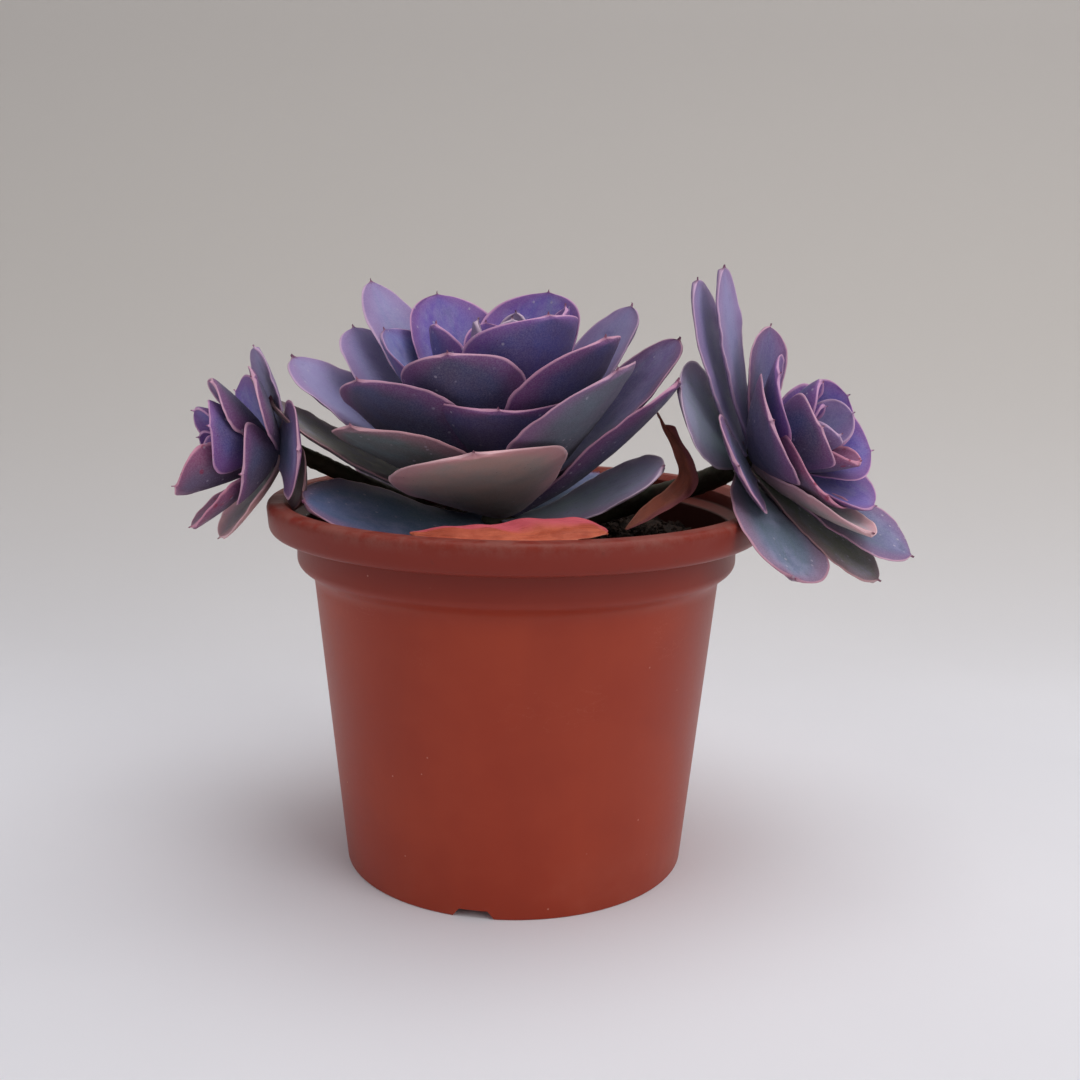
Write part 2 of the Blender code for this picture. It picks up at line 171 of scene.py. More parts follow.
class Sheet:
    """A node tree that nodes are written onto."""

    def __init__(self, tree):
        self.tree = tree

    def node(self, kind, settings=None, **sockets):
        """Adds a node: its settings first, then the values or wires of its sockets, by name."""
        made = self.tree.nodes.new(kind)
        for name, value in (settings or {}).items():
            setattr(made, name, value)
        for name, value in sockets.items():
            join(self.tree, value, made.inputs[name.replace("_", " ")])
        return made

    def wire(self, kind, settings=None, out=0, **sockets):
        """Adds a node and gives one of its outputs."""
        return Wire(self.tree, self.node(kind, settings, **sockets).outputs[out])

    def mix(self, share, first, second, blend="MIX"):
        """Two colours mixed."""
        made = self.tree.nodes.new("ShaderNodeMix")
        made.data_type, made.blend_type = "RGBA", blend
        for slot, value in zip((made.inputs[0], made.inputs[6], made.inputs[7]), (share, first, second)):
            join(self.tree, value, slot)
        return Wire(self.tree, made.outputs[2])

    def noise(self, place, scale, detail=2.0, roughness=0.5, distortion=0.0):
        """Cloudy noise, about 0.5 on average."""
        return self.wire("ShaderNodeTexNoise", None, 0, Vector=place, Scale=scale, Detail=detail,
                         Roughness=roughness, Distortion=distortion)

    def voronoi(self, place, scale):
        """The distance to the nearest of many scattered points, for specks and drops."""
        return self.wire("ShaderNodeTexVoronoi", None, 0, Vector=place, Scale=scale)

    def part_of(self, vector, axis):
        """One of a vector's three numbers: 0, 1 or 2 for X, Y or Z."""
        return self.wire("ShaderNodeSeparateXYZ", None, axis, Vector=vector)


print("operators ready")

# %% [markdown]
# ## Colours and new materials
# Every finish starts from the same place: an empty material, a Principled shader with its steady values
# on its own sockets, and Object coordinates, which are metres on the object, so a scale of 1000 is one
# millimetre.


# %% Helpers for finishes
def tint(red, green, blue):
    """A linear colour from display values of 0 to 255."""
    shares = [value / 255 for value in (red, green, blue)]
    linear = [((s + 0.055) / 1.055) ** 2.4 if s > 0.04 else s / 12.92 for s in shares]
    return (*linear, 1.0)


class Finish(Sheet):
    """A material under construction."""

    def __init__(self, name, **steady):
        self.material = bpy.data.materials.new(name)
        self.material.use_nodes = True
        super().__init__(self.material.node_tree)
        self.tree.nodes.clear()
        self.shader = self.node("ShaderNodeBsdfPrincipled", None, **steady)
        self.node("ShaderNodeOutputMaterial", None, Surface=Wire(self.tree, self.shader.outputs[0]))
        self.place = self.wire("ShaderNodeTexCoord", None, "Object")

    def number(self, name):
        """A number stored on the piece's points."""
        return self.wire("ShaderNodeAttribute", {"attribute_name": name}, "Fac")

    def colour(self, name):
        """A colour stored on the piece's points."""
        return self.wire("ShaderNodeAttribute", {"attribute_name": name}, "Color")

    def stretched(self, x, y, z):
        """The object's place with each direction stretched, for long or flat marks."""
        return self.wire("ShaderNodeMapping", None, 0, Vector=self.place, Scale=(x, y, z))

    def paint(self, colour, roughness, height=None, strength=0.3, depth=0.0004):
        """Ends a finish: its colour, its roughness and, as a bump, its height."""
        join(self.tree, colour, self.shader.inputs["Base Color"])
        join(self.tree, roughness, self.shader.inputs["Roughness"])
        if height is not None:
            bump = self.wire("ShaderNodeBump", None, 0, Strength=strength, Distance=depth, Height=height)
            join(self.tree, bump, self.shader.inputs["Normal"])
        return self.material


print("a mid grey is", tuple(round(v, 3) for v in tint(128, 128, 128)))

# %% [markdown]
# ## The skin of the leaves
# The leaves are fleshy and matt. A powdery bloom lies over a violet to blue-green flesh, the margin is a
# thin pale rose line with a darker band inside it, and old drops have left pale specks. The pale margin line
# is partly the leaf's own colour and partly a painted highlight where the rounded margin catches the light.
# The pattern follows each leaf, so it is drawn from numbers stored on the leaf's own points: how far along
# the leaf, how far across, how many millimetres in from the margin, and whether the point is on the upper or
# the under face. One material then serves every leaf, and the tones are stored on the leaf too.


# %% Leaf skin
def make_leaf_skin():
    """One finish for every leaf."""
    skin = Finish("leaf_skin", Specular_IOR_Level=0.35, Sheen_Weight=0.07, Sheen_Roughness=0.6)
    along, face, edge = skin.number("along"), skin.number("face"), skin.number("edge_mm")
    clouds = skin.noise(skin.place, 75, 4, 0.6)
    powder = skin.noise(skin.place, 240, 5, 0.7)
    pores = skin.noise(skin.place, 2600, 3, 0.6)
    fibres = skin.wire("ShaderNodeCombineXYZ", None, 0, X=skin.number("across") * 9, Y=along * 1.6,
                       Z=skin.number("leaf_seed"))
    streaks = skin.noise(fibres, 1.0, 3, 0.6)
    body = skin.mix((along + (clouds - 0.5) * 0.7).ramp(0.18, 0.98), skin.colour("base_tone"),
                    skin.colour("tip_tone"))
    body = skin.mix(streaks.ramp(0.46, 0.7) * 0.4, body, skin.colour("base_tone"))
    bloom = powder.ramp(0.36, 0.62) * clouds.ramp(0.3, 0.62) * 0.36
    body = skin.mix(bloom, body, tint(168, 166, 200))
    rubbed = skin.noise(skin.place, 150, 6, 0.75).ramp(0.54, 0.66) * 0.5
    body = skin.mix(rubbed, body, skin.mix(0.5, body, skin.colour("base_tone"), "MULTIPLY"))
    under = skin.mix(clouds.ramp(0.35, 0.7) * 0.5, skin.colour("under_tone"), skin.colour("base_tone"))
    # painted shade: the under face is darkened towards the leaf's foot, where the leaves crowd and shade
    # each other
    painted_base_shade = skin.mix(1.0, under, tint(150, 144, 160), "MULTIPLY")
    under = skin.mix(along.ramp(0.85, 0.35) * 0.6, under, painted_base_shade)
    body = skin.mix(face.ramp(0.05, -0.12), body, under)
    blush = (edge + (clouds - 0.5) * 5).ramp(8.5, 0.8) * along.ramp(0.1, 0.6, 0.2, 0.72)
    body = skin.mix(blush, body, skin.colour("blush_tone"))
    # the margin line is partly the leaf's own pale rose edge and partly a painted highlight of the rounded
    # margin
    line = (edge + (powder - 0.5) * 0.3).ramp(1.05, 0.35) * along.ramp(0.1, 0.4, 0.3, 0.9)
    body = skin.mix(line, body, skin.colour("edge_tone"))
    body = skin.mix(along.ramp(0.972, 0.99) * 0.8, body, tint(112, 34, 74))
    body = skin.mix(pores.ramp(0.35, 0.7) * 0.22, body, skin.mix(0.5, body, tint(214, 206, 226)))
    wetted = skin.noise(skin.place, 60, 2).ramp(0.53, 0.6)
    drops = skin.voronoi(skin.place, 330).ramp(0.16, 0.11) * wetted * 0.5
    body = skin.mix(drops, body, tint(190, 182, 200))
    flecked = skin.noise(skin.place, 48, 2).ramp(0.55, 0.64)
    flecks = skin.voronoi(skin.place, 700).ramp(0.14, 0.09) * flecked * 0.55
    body = skin.mix(flecks, body, tint(70, 24, 48))
    blots = skin.voronoi(skin.place, 260).ramp(0.24, 0.14)
    spots = skin.number("red_spots") * blots * powder.ramp(0.4, 0.55)
    body = skin.mix(spots * 0.8, body, tint(146, 34, 72))
    rough = 0.5 + (powder - 0.5) * 0.35 + bloom * 0.5 - line * 0.08
    height = clouds * 0.7 + powder * 0.22 + pores * 0.06 + streaks * 0.25 + drops * 0.2
    return skin.paint(body, rough, height, 0.35, 0.0009)


LEAF_SKIN = make_leaf_skin()
print("leaf skin has", len(LEAF_SKIN.node_tree.nodes), "nodes")

# %% [markdown]
# ## One leaf as a rule
# Every leaf is the same shape with other numbers: a spoon outline that ends in a small point, bent along
# an arc, cupped round the stem, thick in the middle and thin at the margin. Sculpting fifty leaves would
# be slow and they would not nest. A Geometry Nodes tree rolls a grid into the leaf instead: one direction
# runs round the leaf's cross-section, over the upper face and back along the under face, and the other
# from foot to tip. Merging the points that meet closes the seam, the foot and the tip.

# %% Numbers and helpers of the leaf tree
AROUND, ALONG = 44, 60  # faces round the cross-section and along the leaf
LEAF_NUMBERS = [
    "foot", "first_slope", "last_slope", "length", "width", "cup", "roll", "thickness", "seed", "wave",
    "red_spots",
]
LEAF_TONES = ["base_tone", "tip_tone", "edge_tone", "blush_tone", "under_tone"]
BASE_SHARE, WIDEST, MARGIN = 0.38, 0.65, 0.6  # shares of the width, the length and the thickness
POINT_LENGTH, POINT_WIDTH, POINT_BLEND = 2.0 * MM, 1.7 * MM, 0.6 * MM
ROUND_IN, ROUND_OUT = 2.3, 0.52  # how bluntly the outline closes towards the tip
SWAY = 0.14  # how unlike each other the margins are
SMALLEST_SINE = 0.3  # keeps a nearly level leaf from going flat across
TIP_CROWDING = 1.35  # above 1, the grid's rows lie closer together near the tip
SEAM_GAP = 0.02 * MM


def new_tree(name, numbers=(), colours=()):
    """A Geometry Nodes tree with named inputs."""
    tree = bpy.data.node_groups.new(name, "GeometryNodeTree")
    for item in numbers:
        tree.interface.new_socket(item, in_out="INPUT", socket_type="NodeSocketFloat")
    for item in colours:
        tree.interface.new_socket(item, in_out="INPUT", socket_type="NodeSocketColor")
    tree.interface.new_socket("Geometry", in_out="OUTPUT", socket_type="NodeSocketGeometry")
    return tree


def close_tree(sheet, geometry, material, smooth=True):
    """Ends a tree: smooth shading, real geometry, its material."""
    geometry = sheet.wire("GeometryNodeSetShadeSmooth", None, 0, Geometry=geometry, Shade_Smooth=smooth)
    geometry = sheet.wire("GeometryNodeRealizeInstances", None, 0, Geometry=geometry)
    geometry = sheet.wire("GeometryNodeSetMaterial", None, 0, Geometry=geometry, Material=material)
    sheet.node("NodeGroupOutput", None, Geometry=geometry)
    return sheet.tree


def inputs_of(tree):
    """The tree's own inputs as wires, by name."""
    return {slot.name: Wire(tree, slot) for slot in tree.nodes.new("NodeGroupInput").outputs if slot.name}


print("a leaf is a grid of", AROUND, "by", ALONG, "faces")

# %% [markdown]
# The outline opens from a narrow foot to the widest place, then closes round the tip like a spoon. Two
# curves do that, one for each side of the widest place, and a small straight point is blended into the
# second. A little noise along the leaf keeps the two margins from being mirror images.


# %% The leaf's outline
def leaf_outline(sheet, given, along, across):
    """Half the leaf's width at each place along it."""
    length, width = given["length"], given["width"]
    swelling = 0.5 - 0.5 * (along * (math.pi / WIDEST)).math("COSINE")
    growing = width / 2 * (BASE_SHARE + (1 - BASE_SHARE) * swelling)
    shoulder = 1 - 0.55 * POINT_LENGTH / length
    reach = ((along - WIDEST) / (shoulder - WIDEST)).math("MAXIMUM", 0).math("MINIMUM", 1)
    rounding = width / 2 * (1 - reach**ROUND_IN).math("MAXIMUM", 0) ** ROUND_OUT
    point = POINT_WIDTH / 2 * ((1 - along) * length / POINT_LENGTH).math("MINIMUM", 1)
    beyond = along.math("GREATER_THAN", WIDEST)
    half = growing * (1 - beyond) + rounding.math("SMOOTH_MAX", point, POINT_BLEND) * beyond
    closed_foot = (along / 0.02).math("MINIMUM", 1).math("SQRT")
    closed_tip = ((1 - along) / 0.004).math("MINIMUM", 1)
    line = sheet.wire("ShaderNodeCombineXYZ", None, 0, X=along * 3.1, Y=across * 0.7, Z=given["seed"])
    sway = sheet.noise(line, 1.0, 1.0)
    return half * (1 + (sway - 0.5) * SWAY) * (closed_foot * closed_tip)


print("a leaf is widest at", WIDEST, "of its length")

# %% [markdown]
# The midrib starts at one slope and ends at another, so it is an arc of a circle. The arc is measured
# from its middle: a chord forwards and a sag towards the stem, turned by the mean of the two slopes.


# %% The leaf's midrib
def leaf_midrib(given, along):
    """How far out and how far up the midrib runs, and how steeply."""
    rise = (given["first_slope"] + given["last_slope"]) / 2
    curl = given["last_slope"] - given["first_slope"]
    bend = given["length"] / (2 * (curl / 2).math("SINE"))
    angle = curl * (along - 0.5)
    chord = given["length"] / 2 + bend * angle.math("SINE")
    sag = bend * ((curl / 2).math("COSINE") - angle.math("COSINE"))
    out = given["foot"] + chord * rise.math("COSINE") - sag * rise.math("SINE")
    up = chord * rise.math("SINE") + sag * rise.math("COSINE")
    return out, up, rise + angle


print("midrib rule ready")

# %% [markdown]
# Across, the leaf bends round its rosette's axis, so its radius grows with the distance from the stem.
# The flesh hangs mostly under that curve, is thickest in the middle and ends in a rounded margin. Last
# come a few ripples and the roll about the midrib, both of which start from nothing at the foot.


# %% The leaf's cross-section
def leaf_place(sheet, given, along, across, face, half):
    """Where each point of the grid goes."""
    out, up, slope = leaf_midrib(given, along)
    section = out / slope.math("SINE").math("MAXIMUM", SMALLEST_SINE) / given["cup"]
    fullness = (0.7 + along).math("MINIMUM", 1) * (1 - 0.45 * along)
    thick = (given["thickness"] * fullness).math("MINIMUM", half * 1.1)
    flesh = face.math("ABSOLUTE")
    above = face.math("MAXIMUM", 0) * thick * (MARGIN / 2)
    below = face.math("LESS_THAN", 0) * (flesh * thick * (MARGIN / 2) + flesh**1.6 * thick * (1 - MARGIN))
    depth = below - above + thick * (MARGIN / 2)
    swing = across * half / section
    side = (section + depth) * swing.math("SINE")
    lift = section - (section + depth) * swing.math("COSINE")
    line = sheet.wire("ShaderNodeCombineXYZ", None, 0, X=along * 4.6, Y=across * 1.1, Z=given["seed"] + 5.3)
    ripple = sheet.noise(line, 1.0, 2.0)
    starting = (along * 2).math("MINIMUM", 1)
    lift = lift + (ripple - 0.5) * given["wave"] * (across**2 + 0.25) * starting
    twist = given["roll"] * starting
    level, tilted = twist.math("COSINE"), twist.math("SINE")
    aside, off = side * level - lift * tilted, side * tilted + lift * level
    return sheet.wire("ShaderNodeCombineXYZ", None, 0, X=aside, Y=off * slope.math("SINE") - out,
                      Z=up + off * slope.math("COSINE"))


print("cross-section rule ready")

# %% [markdown]
# The skin needs to know where it is on the leaf. So the numbers and the tones are stored on the points
# while each point still knows its place on the flat grid, and only then does the grid take the leaf's
# shape.


# %% The whole leaf
STORE = "GeometryNodeStoreNamedAttribute"
POINT_NUMBER = {"data_type": "FLOAT", "domain": "POINT"}
POINT_COLOUR = {"data_type": "FLOAT_COLOR", "domain": "POINT"}


def make_leaf_tree():
    """A grid rolled into a leaf."""
    tree = new_tree("leaf_blade", LEAF_NUMBERS, LEAF_TONES)
    sheet, given = Sheet(tree), inputs_of(tree)
    geometry = sheet.wire("GeometryNodeMeshGrid", None, 0, Size_X=1.0, Size_Y=1.0, Vertices_X=AROUND + 1,
                          Vertices_Y=ALONG + 1)
    spot = sheet.wire("GeometryNodeInputPosition")
    turn = (sheet.part_of(spot, 0) + 0.5) * math.tau
    along = 1 - (0.5 - sheet.part_of(spot, 1)) ** TIP_CROWDING
    across, face = turn.math("COSINE"), turn.math("SINE")
    half = leaf_outline(sheet, given, along, across)
    stored = {"along": along, "across": across, "face": face, "leaf_seed": given["seed"],
              "red_spots": given["red_spots"], "edge_mm": (1 - across.math("ABSOLUTE")) * half / MM}
    for name, value in stored.items():
        geometry = sheet.wire(STORE, POINT_NUMBER, 0, Geometry=geometry, Name=name, Value=value)
    for name in LEAF_TONES:
        geometry = sheet.wire(STORE, POINT_COLOUR, 0, Geometry=geometry, Name=name, Value=given[name])
    place = leaf_place(sheet, given, along, across, face, half)
    geometry = sheet.wire("GeometryNodeSetPosition", None, 0, Geometry=geometry, Position=place)
    geometry = sheet.wire("GeometryNodeMergeByDistance", None, 0, Geometry=geometry, Distance=SEAM_GAP)
    geometry = sheet.wire("GeometryNodeFlipFaces", None, 0, Mesh=geometry)
    return close_tree(sheet, geometry, LEAF_SKIN)


LEAF_TREE = make_leaf_tree()
print("leaf tree has", len(LEAF_TREE.nodes), "nodes")


# %% [markdown]
# ## From a rule to a piece
# A tree is only a rule until it stands on an object as a modifier. An empty object carries it for a
# moment, its inputs are set by their identifiers, and the evaluated result is kept as a plain mesh. The
# modifier could stay, but a plain mesh can be measured and moved at once. Each finished mesh then becomes
# a piece that rides on the plant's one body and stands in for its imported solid.


# %% Growing a mesh from a tree
def grown(tree, **values):
    """The mesh that a tree makes from these inputs, as plain geometry."""
    bench = bpy.data.objects.new("bench", bpy.data.meshes.new("seedling"))
    bpy.context.scene.collection.objects.link(bench)
    rule = bench.modifiers.new("rule", "NODES")
    rule.node_group = tree
    for item in tree.interface.items_tree:
        if item.in_out == "INPUT" and item.name in values:
            rule[item.identifier] = values[item.name]
    graph = bpy.context.evaluated_depsgraph_get()
    made = bpy.data.meshes.new_from_object(bench.evaluated_get(graph), depsgraph=graph)
    bpy.data.objects.remove(bench)
    return made


def piece_from(name, mesh, slot, *nodes):
    """A finished piece: its place in its mesh, riding on the body, standing for its CAD nodes."""
    mesh.name = name
    piece = bpy.data.objects.new(name, mesh)
    bpy.context.scene.collection.objects.link(piece)
    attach(piece, "root")
    if nodes:
        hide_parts(*nodes)
    return piece


def volume_of(mesh):
    """The volume that a closed mesh holds, in cubic metres."""
    bm = bmesh.new()
    bm.from_mesh(mesh)
    volume = bm.calc_volume(signed=True)
    bm.free()
    return volume


print("bench ready")

# %% [markdown]
# ## Where the leaves grow
# A rosette is a spiral of leaves on a short stem. The main one leans a little forward, the two side ones
# hang over the rim on their own stems. Each row gives a leaf's turn round the stem, its level on it, the
# slopes of its first and last stretch, its length, width, cup and roll, and the tone that it has. The
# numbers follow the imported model's, so each leaf lies about where its solid lies. They could be drawn at
# random from the spiral, but then no leaf would be this plant's own. The hearts hold the young leaves,
# too small to be solids.

# %% Rosettes
ROSETTES = {
    "main": dict(origin=(-5, 0, -6), lean=6, heading=0, stem=5.0),
    "left": dict(origin=(-66, -5, 13), lean=86, heading=-64, stem=2.4),
    "right": dict(origin=(64, -4, 11), lean=62, heading=58, stem=3.2),
}
LEAVES = {
    "main": [
        (-62, -1, 9, 18, 54, 38, 1.0, -12, "slate"), (178, 0.4, 4, 14, 54, 36, 1, 0, "slate"),
        (146, -1.8, 0, 8, 50, 32, 1, 0, "slate"), (60, 1.2, 16, 34, 49, 28, 1.0, 20, "pale"),
        (-7, 4.0, 22, 42, 50, 47, 1, 13, "rose"), (-131, 2.5, 5, 12, 50, 30, 1, 0, "slate"),
        (-155, 4.6, 10, 22, 56, 34, 1, 0, "plum"), (-84, 4.2, 16, 40, 65, 30, 1, 0, "moss"),
        (-47, 8.8, 24, 34, 52, 39, 1.1, 10, "teal"), (68, 4, 31, 52, 60, 34, 1, 0, "plum"),
        (156, 6.5, 20, 38, 56, 36, 1, 0, "lilac"), (-102, 7.2, 28, 38, 66, 38, 1, 0, "lilac"),
        (-124, 10, 34, 46, 62, 34, 1, 0, "lilac"), (93, 7.4, 36, 54, 62, 34, 1, 8, "dusk"),
        (38, 9.7, 31, 56, 58, 46, 1.1, 18, "sage"), (-55, 11.4, 31, 49, 51, 37, 1.2, 18, "dusk"),
        (-165, 11, 34, 46, 56, 34, 1, 0, "lilac"), (0, 12.8, 35, 48, 39, 42, 1.9, 0, "plum"),
        (-132, 13.5, 42, 50, 68, 22, 1.4, 0, "lilac"), (112, 12, 46, 62, 58, 30, 1, 0, "lilac"),
        (178, 14.9, 46, 58, 50, 31, 1, 0, "violet"), (-91, 16.8, 46, 62, 45, 38, 1.2, -10, "water"),
        (47, 15.5, 42, 62, 51, 42, 1.1, 8, "plum"), (-23, 16.6, 42, 62, 45, 35, 1.3, 14, "dusk"),
        (-140, 18.7, 50, 72, 48, 34, 1.1, 0, "violet"), (148, 20, 56, 74, 46, 36, 1.1, 0, "violet"),
        (31, 20.8, 54, 76, 44, 43, 1.2, 4, "violet"),
    ],
    "left": [
        (112, 0, 14, 26, 27, 21, 1, 0, "lilac"), (32, 1.1, 0, 10, 24, 26, 1, 0, "dusk"),
        (0, -1.0, -6, 4, 18, 19, 1, 0, "moss"), (170, 1.4, 12, 24, 23, 22, 1, 0, "violet"),
        (-56, 1, 30, 44, 27, 22, 1, 0, "rose"), (80, 2.5, 18, 32, 25, 22, 1, 0, "dusk"),
        (-46, 3.6, 42, 58, 29, 22, 1, 0, "rosy"), (12, 3.0, 30, 46, 21, 24, 1.2, 0, "dusk"),
        (100, 5, 38, 54, 23, 23, 1.2, 0, "dusk"), (54, 5.8, 46, 64, 22, 23, 1.2, 0, "violet"),
        (-18, 6.2, 60, 76, 27, 21, 1.1, 0, "rosy"),
    ],
    "right": [
        (-106, 5.4, 13, 27, 50, 19, 1.4, 0, "lilac"), (-101, 2.4, 9, 23, 50, 23, 1.5, 0, "lilac"),
        (-73, -0.2, 0, 10, 32, 34, 1, 0, "pale"), (-28, 2.0, 14, 24, 34, 29, 1, 0, "dusk"),
        (12, -1.2, 26, 12, 48, 31, 0.8, 18, "sea"), (60, 2, 24, 26, 45, 28, 1, 0, "moss"),
        (74, 4.2, 29, 34, 47, 28, 1, 0, "sage"), (42, 4.2, 32, 48, 38, 30, 1.1, 0, "rose"),
        (150, 2.8, 34, 48, 29, 29, 1, 0, "violet"), (-125, 6.2, 22, 38, 32, 26, 1, 0, "dusk"),
        (66, 6.0, 38, 52, 31, 29, 1.1, 0, "violet"), (14, 6.4, 32, 50, 28, 32, 1.3, 0, "rosy"),
        (-42, 5.2, 28, 46, 30, 32, 1.2, 0, "dusk"), (-74, 7.0, 36, 52, 28, 30, 1.1, 0, "violet"),
        (112, 8.4, 48, 62, 26, 27, 1, 0, "violet"),
    ],
}
HEARTS = {
    "main": [
        (-62, 21.0, 56, 82, 38, 24, 1.3, 0, "violet"), (92, 22.0, 62, 84, 40, 24, 1.3, 0, "violet"),
        (-160, 22.8, 66, 88, 32, 20, 1.4, 0, "violet"), (15, 23.8, 70, 90, 35, 15, 1.5, 0, "pale"),
        (150, 24.6, 76, 96, 33, 13, 1.7, 0, "pale"), (-90, 25.2, 80, 99, 31, 10, 1.9, 0, "pale"),
    ],
    "left": [
        (140, 6.4, 58, 76, 19, 17, 1.2, 0, "violet"), (-84, 7.2, 64, 84, 18, 15, 1.3, 0, "dusk"),
        (10, 7.8, 68, 88, 17, 13, 1.4, 0, "violet"), (175, 8.4, 74, 95, 14, 10, 1.6, 0, "violet"),
        (60, 8.8, 80, 100, 12, 7, 1.9, 0, "lilac"),
    ],
    "right": [
        (-28, 7.6, 50, 74, 26, 25, 1.2, 0, "dusk"), (170, 8.0, 52, 74, 25, 23, 1.2, 0, "violet"),
        (52, 8.6, 56, 80, 24, 21, 1.2, 0, "rosy"), (-100, 9.2, 60, 84, 23, 19, 1.3, 0, "violet"),
        (150, 9.8, 66, 88, 22, 16, 1.3, 0, "lilac"), (10, 10.4, 72, 94, 20, 13, 1.4, 0, "lilac"),
        (-120, 11.0, 78, 100, 17, 9, 1.7, 0, "violet"), (80, 11.4, 82, 104, 14, 7, 1.9, 0, "lilac"),
    ],
}
print({side: len(rows) + len(HEARTS[side]) for side, rows in LEAVES.items()})

# %% [markdown]
# ## Tones
# Old outer leaves keep a green or slate flesh under the bloom and young inner ones are violet. The leaves
# that stand in the most light are given paler lavender tones and those deep among the others darker ones, so
# a leaf's tone is partly its own colour and partly painted light and shade. Each tone names five colours:
# flesh near the stem, flesh near the tip, the fine margin line, the blush beside it and the under face.

# %% Tones of the leaves
TONES = {
    "slate": [(58, 96, 122), (78, 98, 150), (186, 134, 156), (132, 92, 128), (110, 82, 96)],
    "sea": [(78, 104, 112), (100, 112, 142), (190, 134, 152), (140, 98, 128), (110, 96, 110)],
    "rose": [(142, 160, 160), (176, 148, 150), (232, 186, 190), (214, 146, 154), (196, 164, 156)],
    "moss": [(96, 112, 70), (108, 104, 92), (178, 132, 134), (122, 86, 98), (84, 84, 50)],
    "plum": [(60, 64, 128), (104, 68, 140), (208, 148, 176), (122, 58, 116), (74, 60, 102)],
    "lilac": [(126, 132, 180), (142, 130, 184), (196, 160, 192), (146, 112, 164), (112, 96, 134)],
    "teal": [(86, 122, 126), (110, 110, 118), (218, 164, 172), (150, 96, 112), (92, 92, 88)],
    "dusk": [(60, 78, 126), (104, 76, 144), (208, 156, 180), (124, 62, 118), (76, 66, 98)],
    "sage": [(88, 112, 124), (98, 98, 146), (200, 152, 176), (130, 84, 132), (92, 90, 110)],
    "violet": [(78, 88, 168), (112, 84, 176), (204, 148, 190), (130, 72, 146), (86, 72, 126)],
    "water": [(120, 142, 190), (112, 108, 182), (190, 146, 190), (118, 84, 152), (94, 86, 140)],
    "pale": [(128, 150, 158), (150, 150, 180), (206, 180, 200), (150, 118, 156), (120, 120, 142)],
    "rosy": [(92, 84, 120), (124, 86, 124), (212, 140, 164), (148, 70, 112), (104, 80, 106)],
}
print(len(TONES), "tones")

# %% [markdown]
# ## A leaf in its place
# A leaf is grown at the origin, turned round its stem, raised to its level and moved with its rosette.
# Its foot is sunk into the stem by a little more than half the stem's radius, so that no gap shows there,
# and its foot, level and length are corrected for that, so that the blade stays where its row puts it.


# %% Placing a leaf
LEAF_THICKNESS, FULL_LENGTH = 3.0 * MM, 50  # a leaf under 50 mm is thinner in proportion
STEM_SKIN, RIPPLE, SEED_STEP = 0.7, 0.05, 1.37


def rosette_place(rosette):
    """Where a rosette stands and how it leans."""
    heading, lean = math.radians(rosette["heading"]), math.radians(rosette["lean"])
    aside = Matrix.Rotation(heading, 4, "Z")
    leaning = aside @ Matrix.Rotation(lean, 4, "X") @ aside.inverted()
    origin = POT_AXIS + Vector(rosette["origin"]) * MM + Vector((0, 0, POT_HEIGHT))
    return Matrix.Translation(origin) @ leaning


def leaf_mesh(rosette, row, seed):
    """One leaf grown and put in its place."""
    turn, level, first, last, length, width, cup, roll, tone = row
    full, sunk = min(1.0, length / FULL_LENGTH), 0.5 * rosette["stem"] + STEM_SKIN
    rise = math.radians((first + last) / 2)
    foot = rosette["stem"] + STEM_SKIN - sunk * math.cos(rise)
    level = level - sunk * math.sin(rise)
    tones = {name: tint(*TONES[tone][at]) for at, name in enumerate(LEAF_TONES)}
    mesh = grown(
        LEAF_TREE,
        foot=foot * MM,
        first_slope=math.radians(first),
        last_slope=math.radians(last),
        length=(length + sunk) * MM,
        width=width * MM,
        cup=float(cup),
        roll=math.radians(roll),
        thickness=LEAF_THICKNESS * (0.55 + 0.45 * full),
        seed=seed * SEED_STEP,
        wave=RIPPLE * length * MM,
        red_spots=1.0 if tone == "rosy" else 0.0,
        **tones,
    )
    spin = Matrix.Rotation(math.radians(turn), 4, "Z")
    mesh.transform(rosette_place(rosette) @ Matrix.Translation((0, 0, level * MM)) @ spin)
    return mesh


for side, rosette in ROSETTES.items():
    print(side, "rosette stands at", tuple(round(v, 4) for v in rosette_place(rosette).translation))

# %% [markdown]
# Every leaf, large or small, comes from the same two calls. Each is a piece of its own with its own seed,
# because on the plant every leaf can be told from its neighbours and could be picked off.

# %% Every leaf
leaf_count = 0
smallest = 1.0
for side, rosette in ROSETTES.items():
    for at, row in enumerate(LEAVES[side], start=1):
        leaf = leaf_mesh(rosette, row, 40 * len(side) + at)
        name = f"{side}_leaf_{at:02d}"
        piece_from(f"{name}_skin", leaf, f"{side}_leaf", name)
        leaf_count += 1
        smallest = min(smallest, volume_of(leaf))
    for at, row in enumerate(HEARTS[side], start=1):
        leaflet = leaf_mesh(rosette, row, 300 + 10 * len(side) + at)
        piece_from(f"{side}_heart_{at:02d}", leaflet, f"{side}_leaf")
print(leaf_count, f"leaves, the smallest holds {smallest * 1e6:.2f} ml")

# %% [markdown]
# ## Stems
# Each stem is a woody tube with the ring-shaped scars of fallen leaves. A bevelled curve would be smooth,
# so rings of points are laid along the stem's route, and every few millimetres the radius swells into a
# scar.


# %% Rings along a route
STEM_SIDES, STEM_STEPS = 28, 14  # points in a ring, and rings between two spots of the route


def between(before, start, end, after, t):
    """One number on a smooth line, t of the way from start to end."""
    first = (end - before) * t
    second = (2 * before - 5 * start + 4 * end - after) * t * t
    third = (3 * start - before - 3 * end + after) * t**3
    return 0.5 * (2 * start + first + second + third)


def rounded_route(points, steps):
    """A smooth line through the points, with the number that each carries."""
    made = []
    for at in range(len(points) - 1):
        before, start = points[max(at - 1, 0)], points[at]
        end, after = points[at + 1], points[min(at + 2, len(points) - 1)]
        for step in range(steps):
            made.append([between(*numbers, step / steps) for numbers in zip(before, start, end, after)])
    return made + [list(points[-1])]


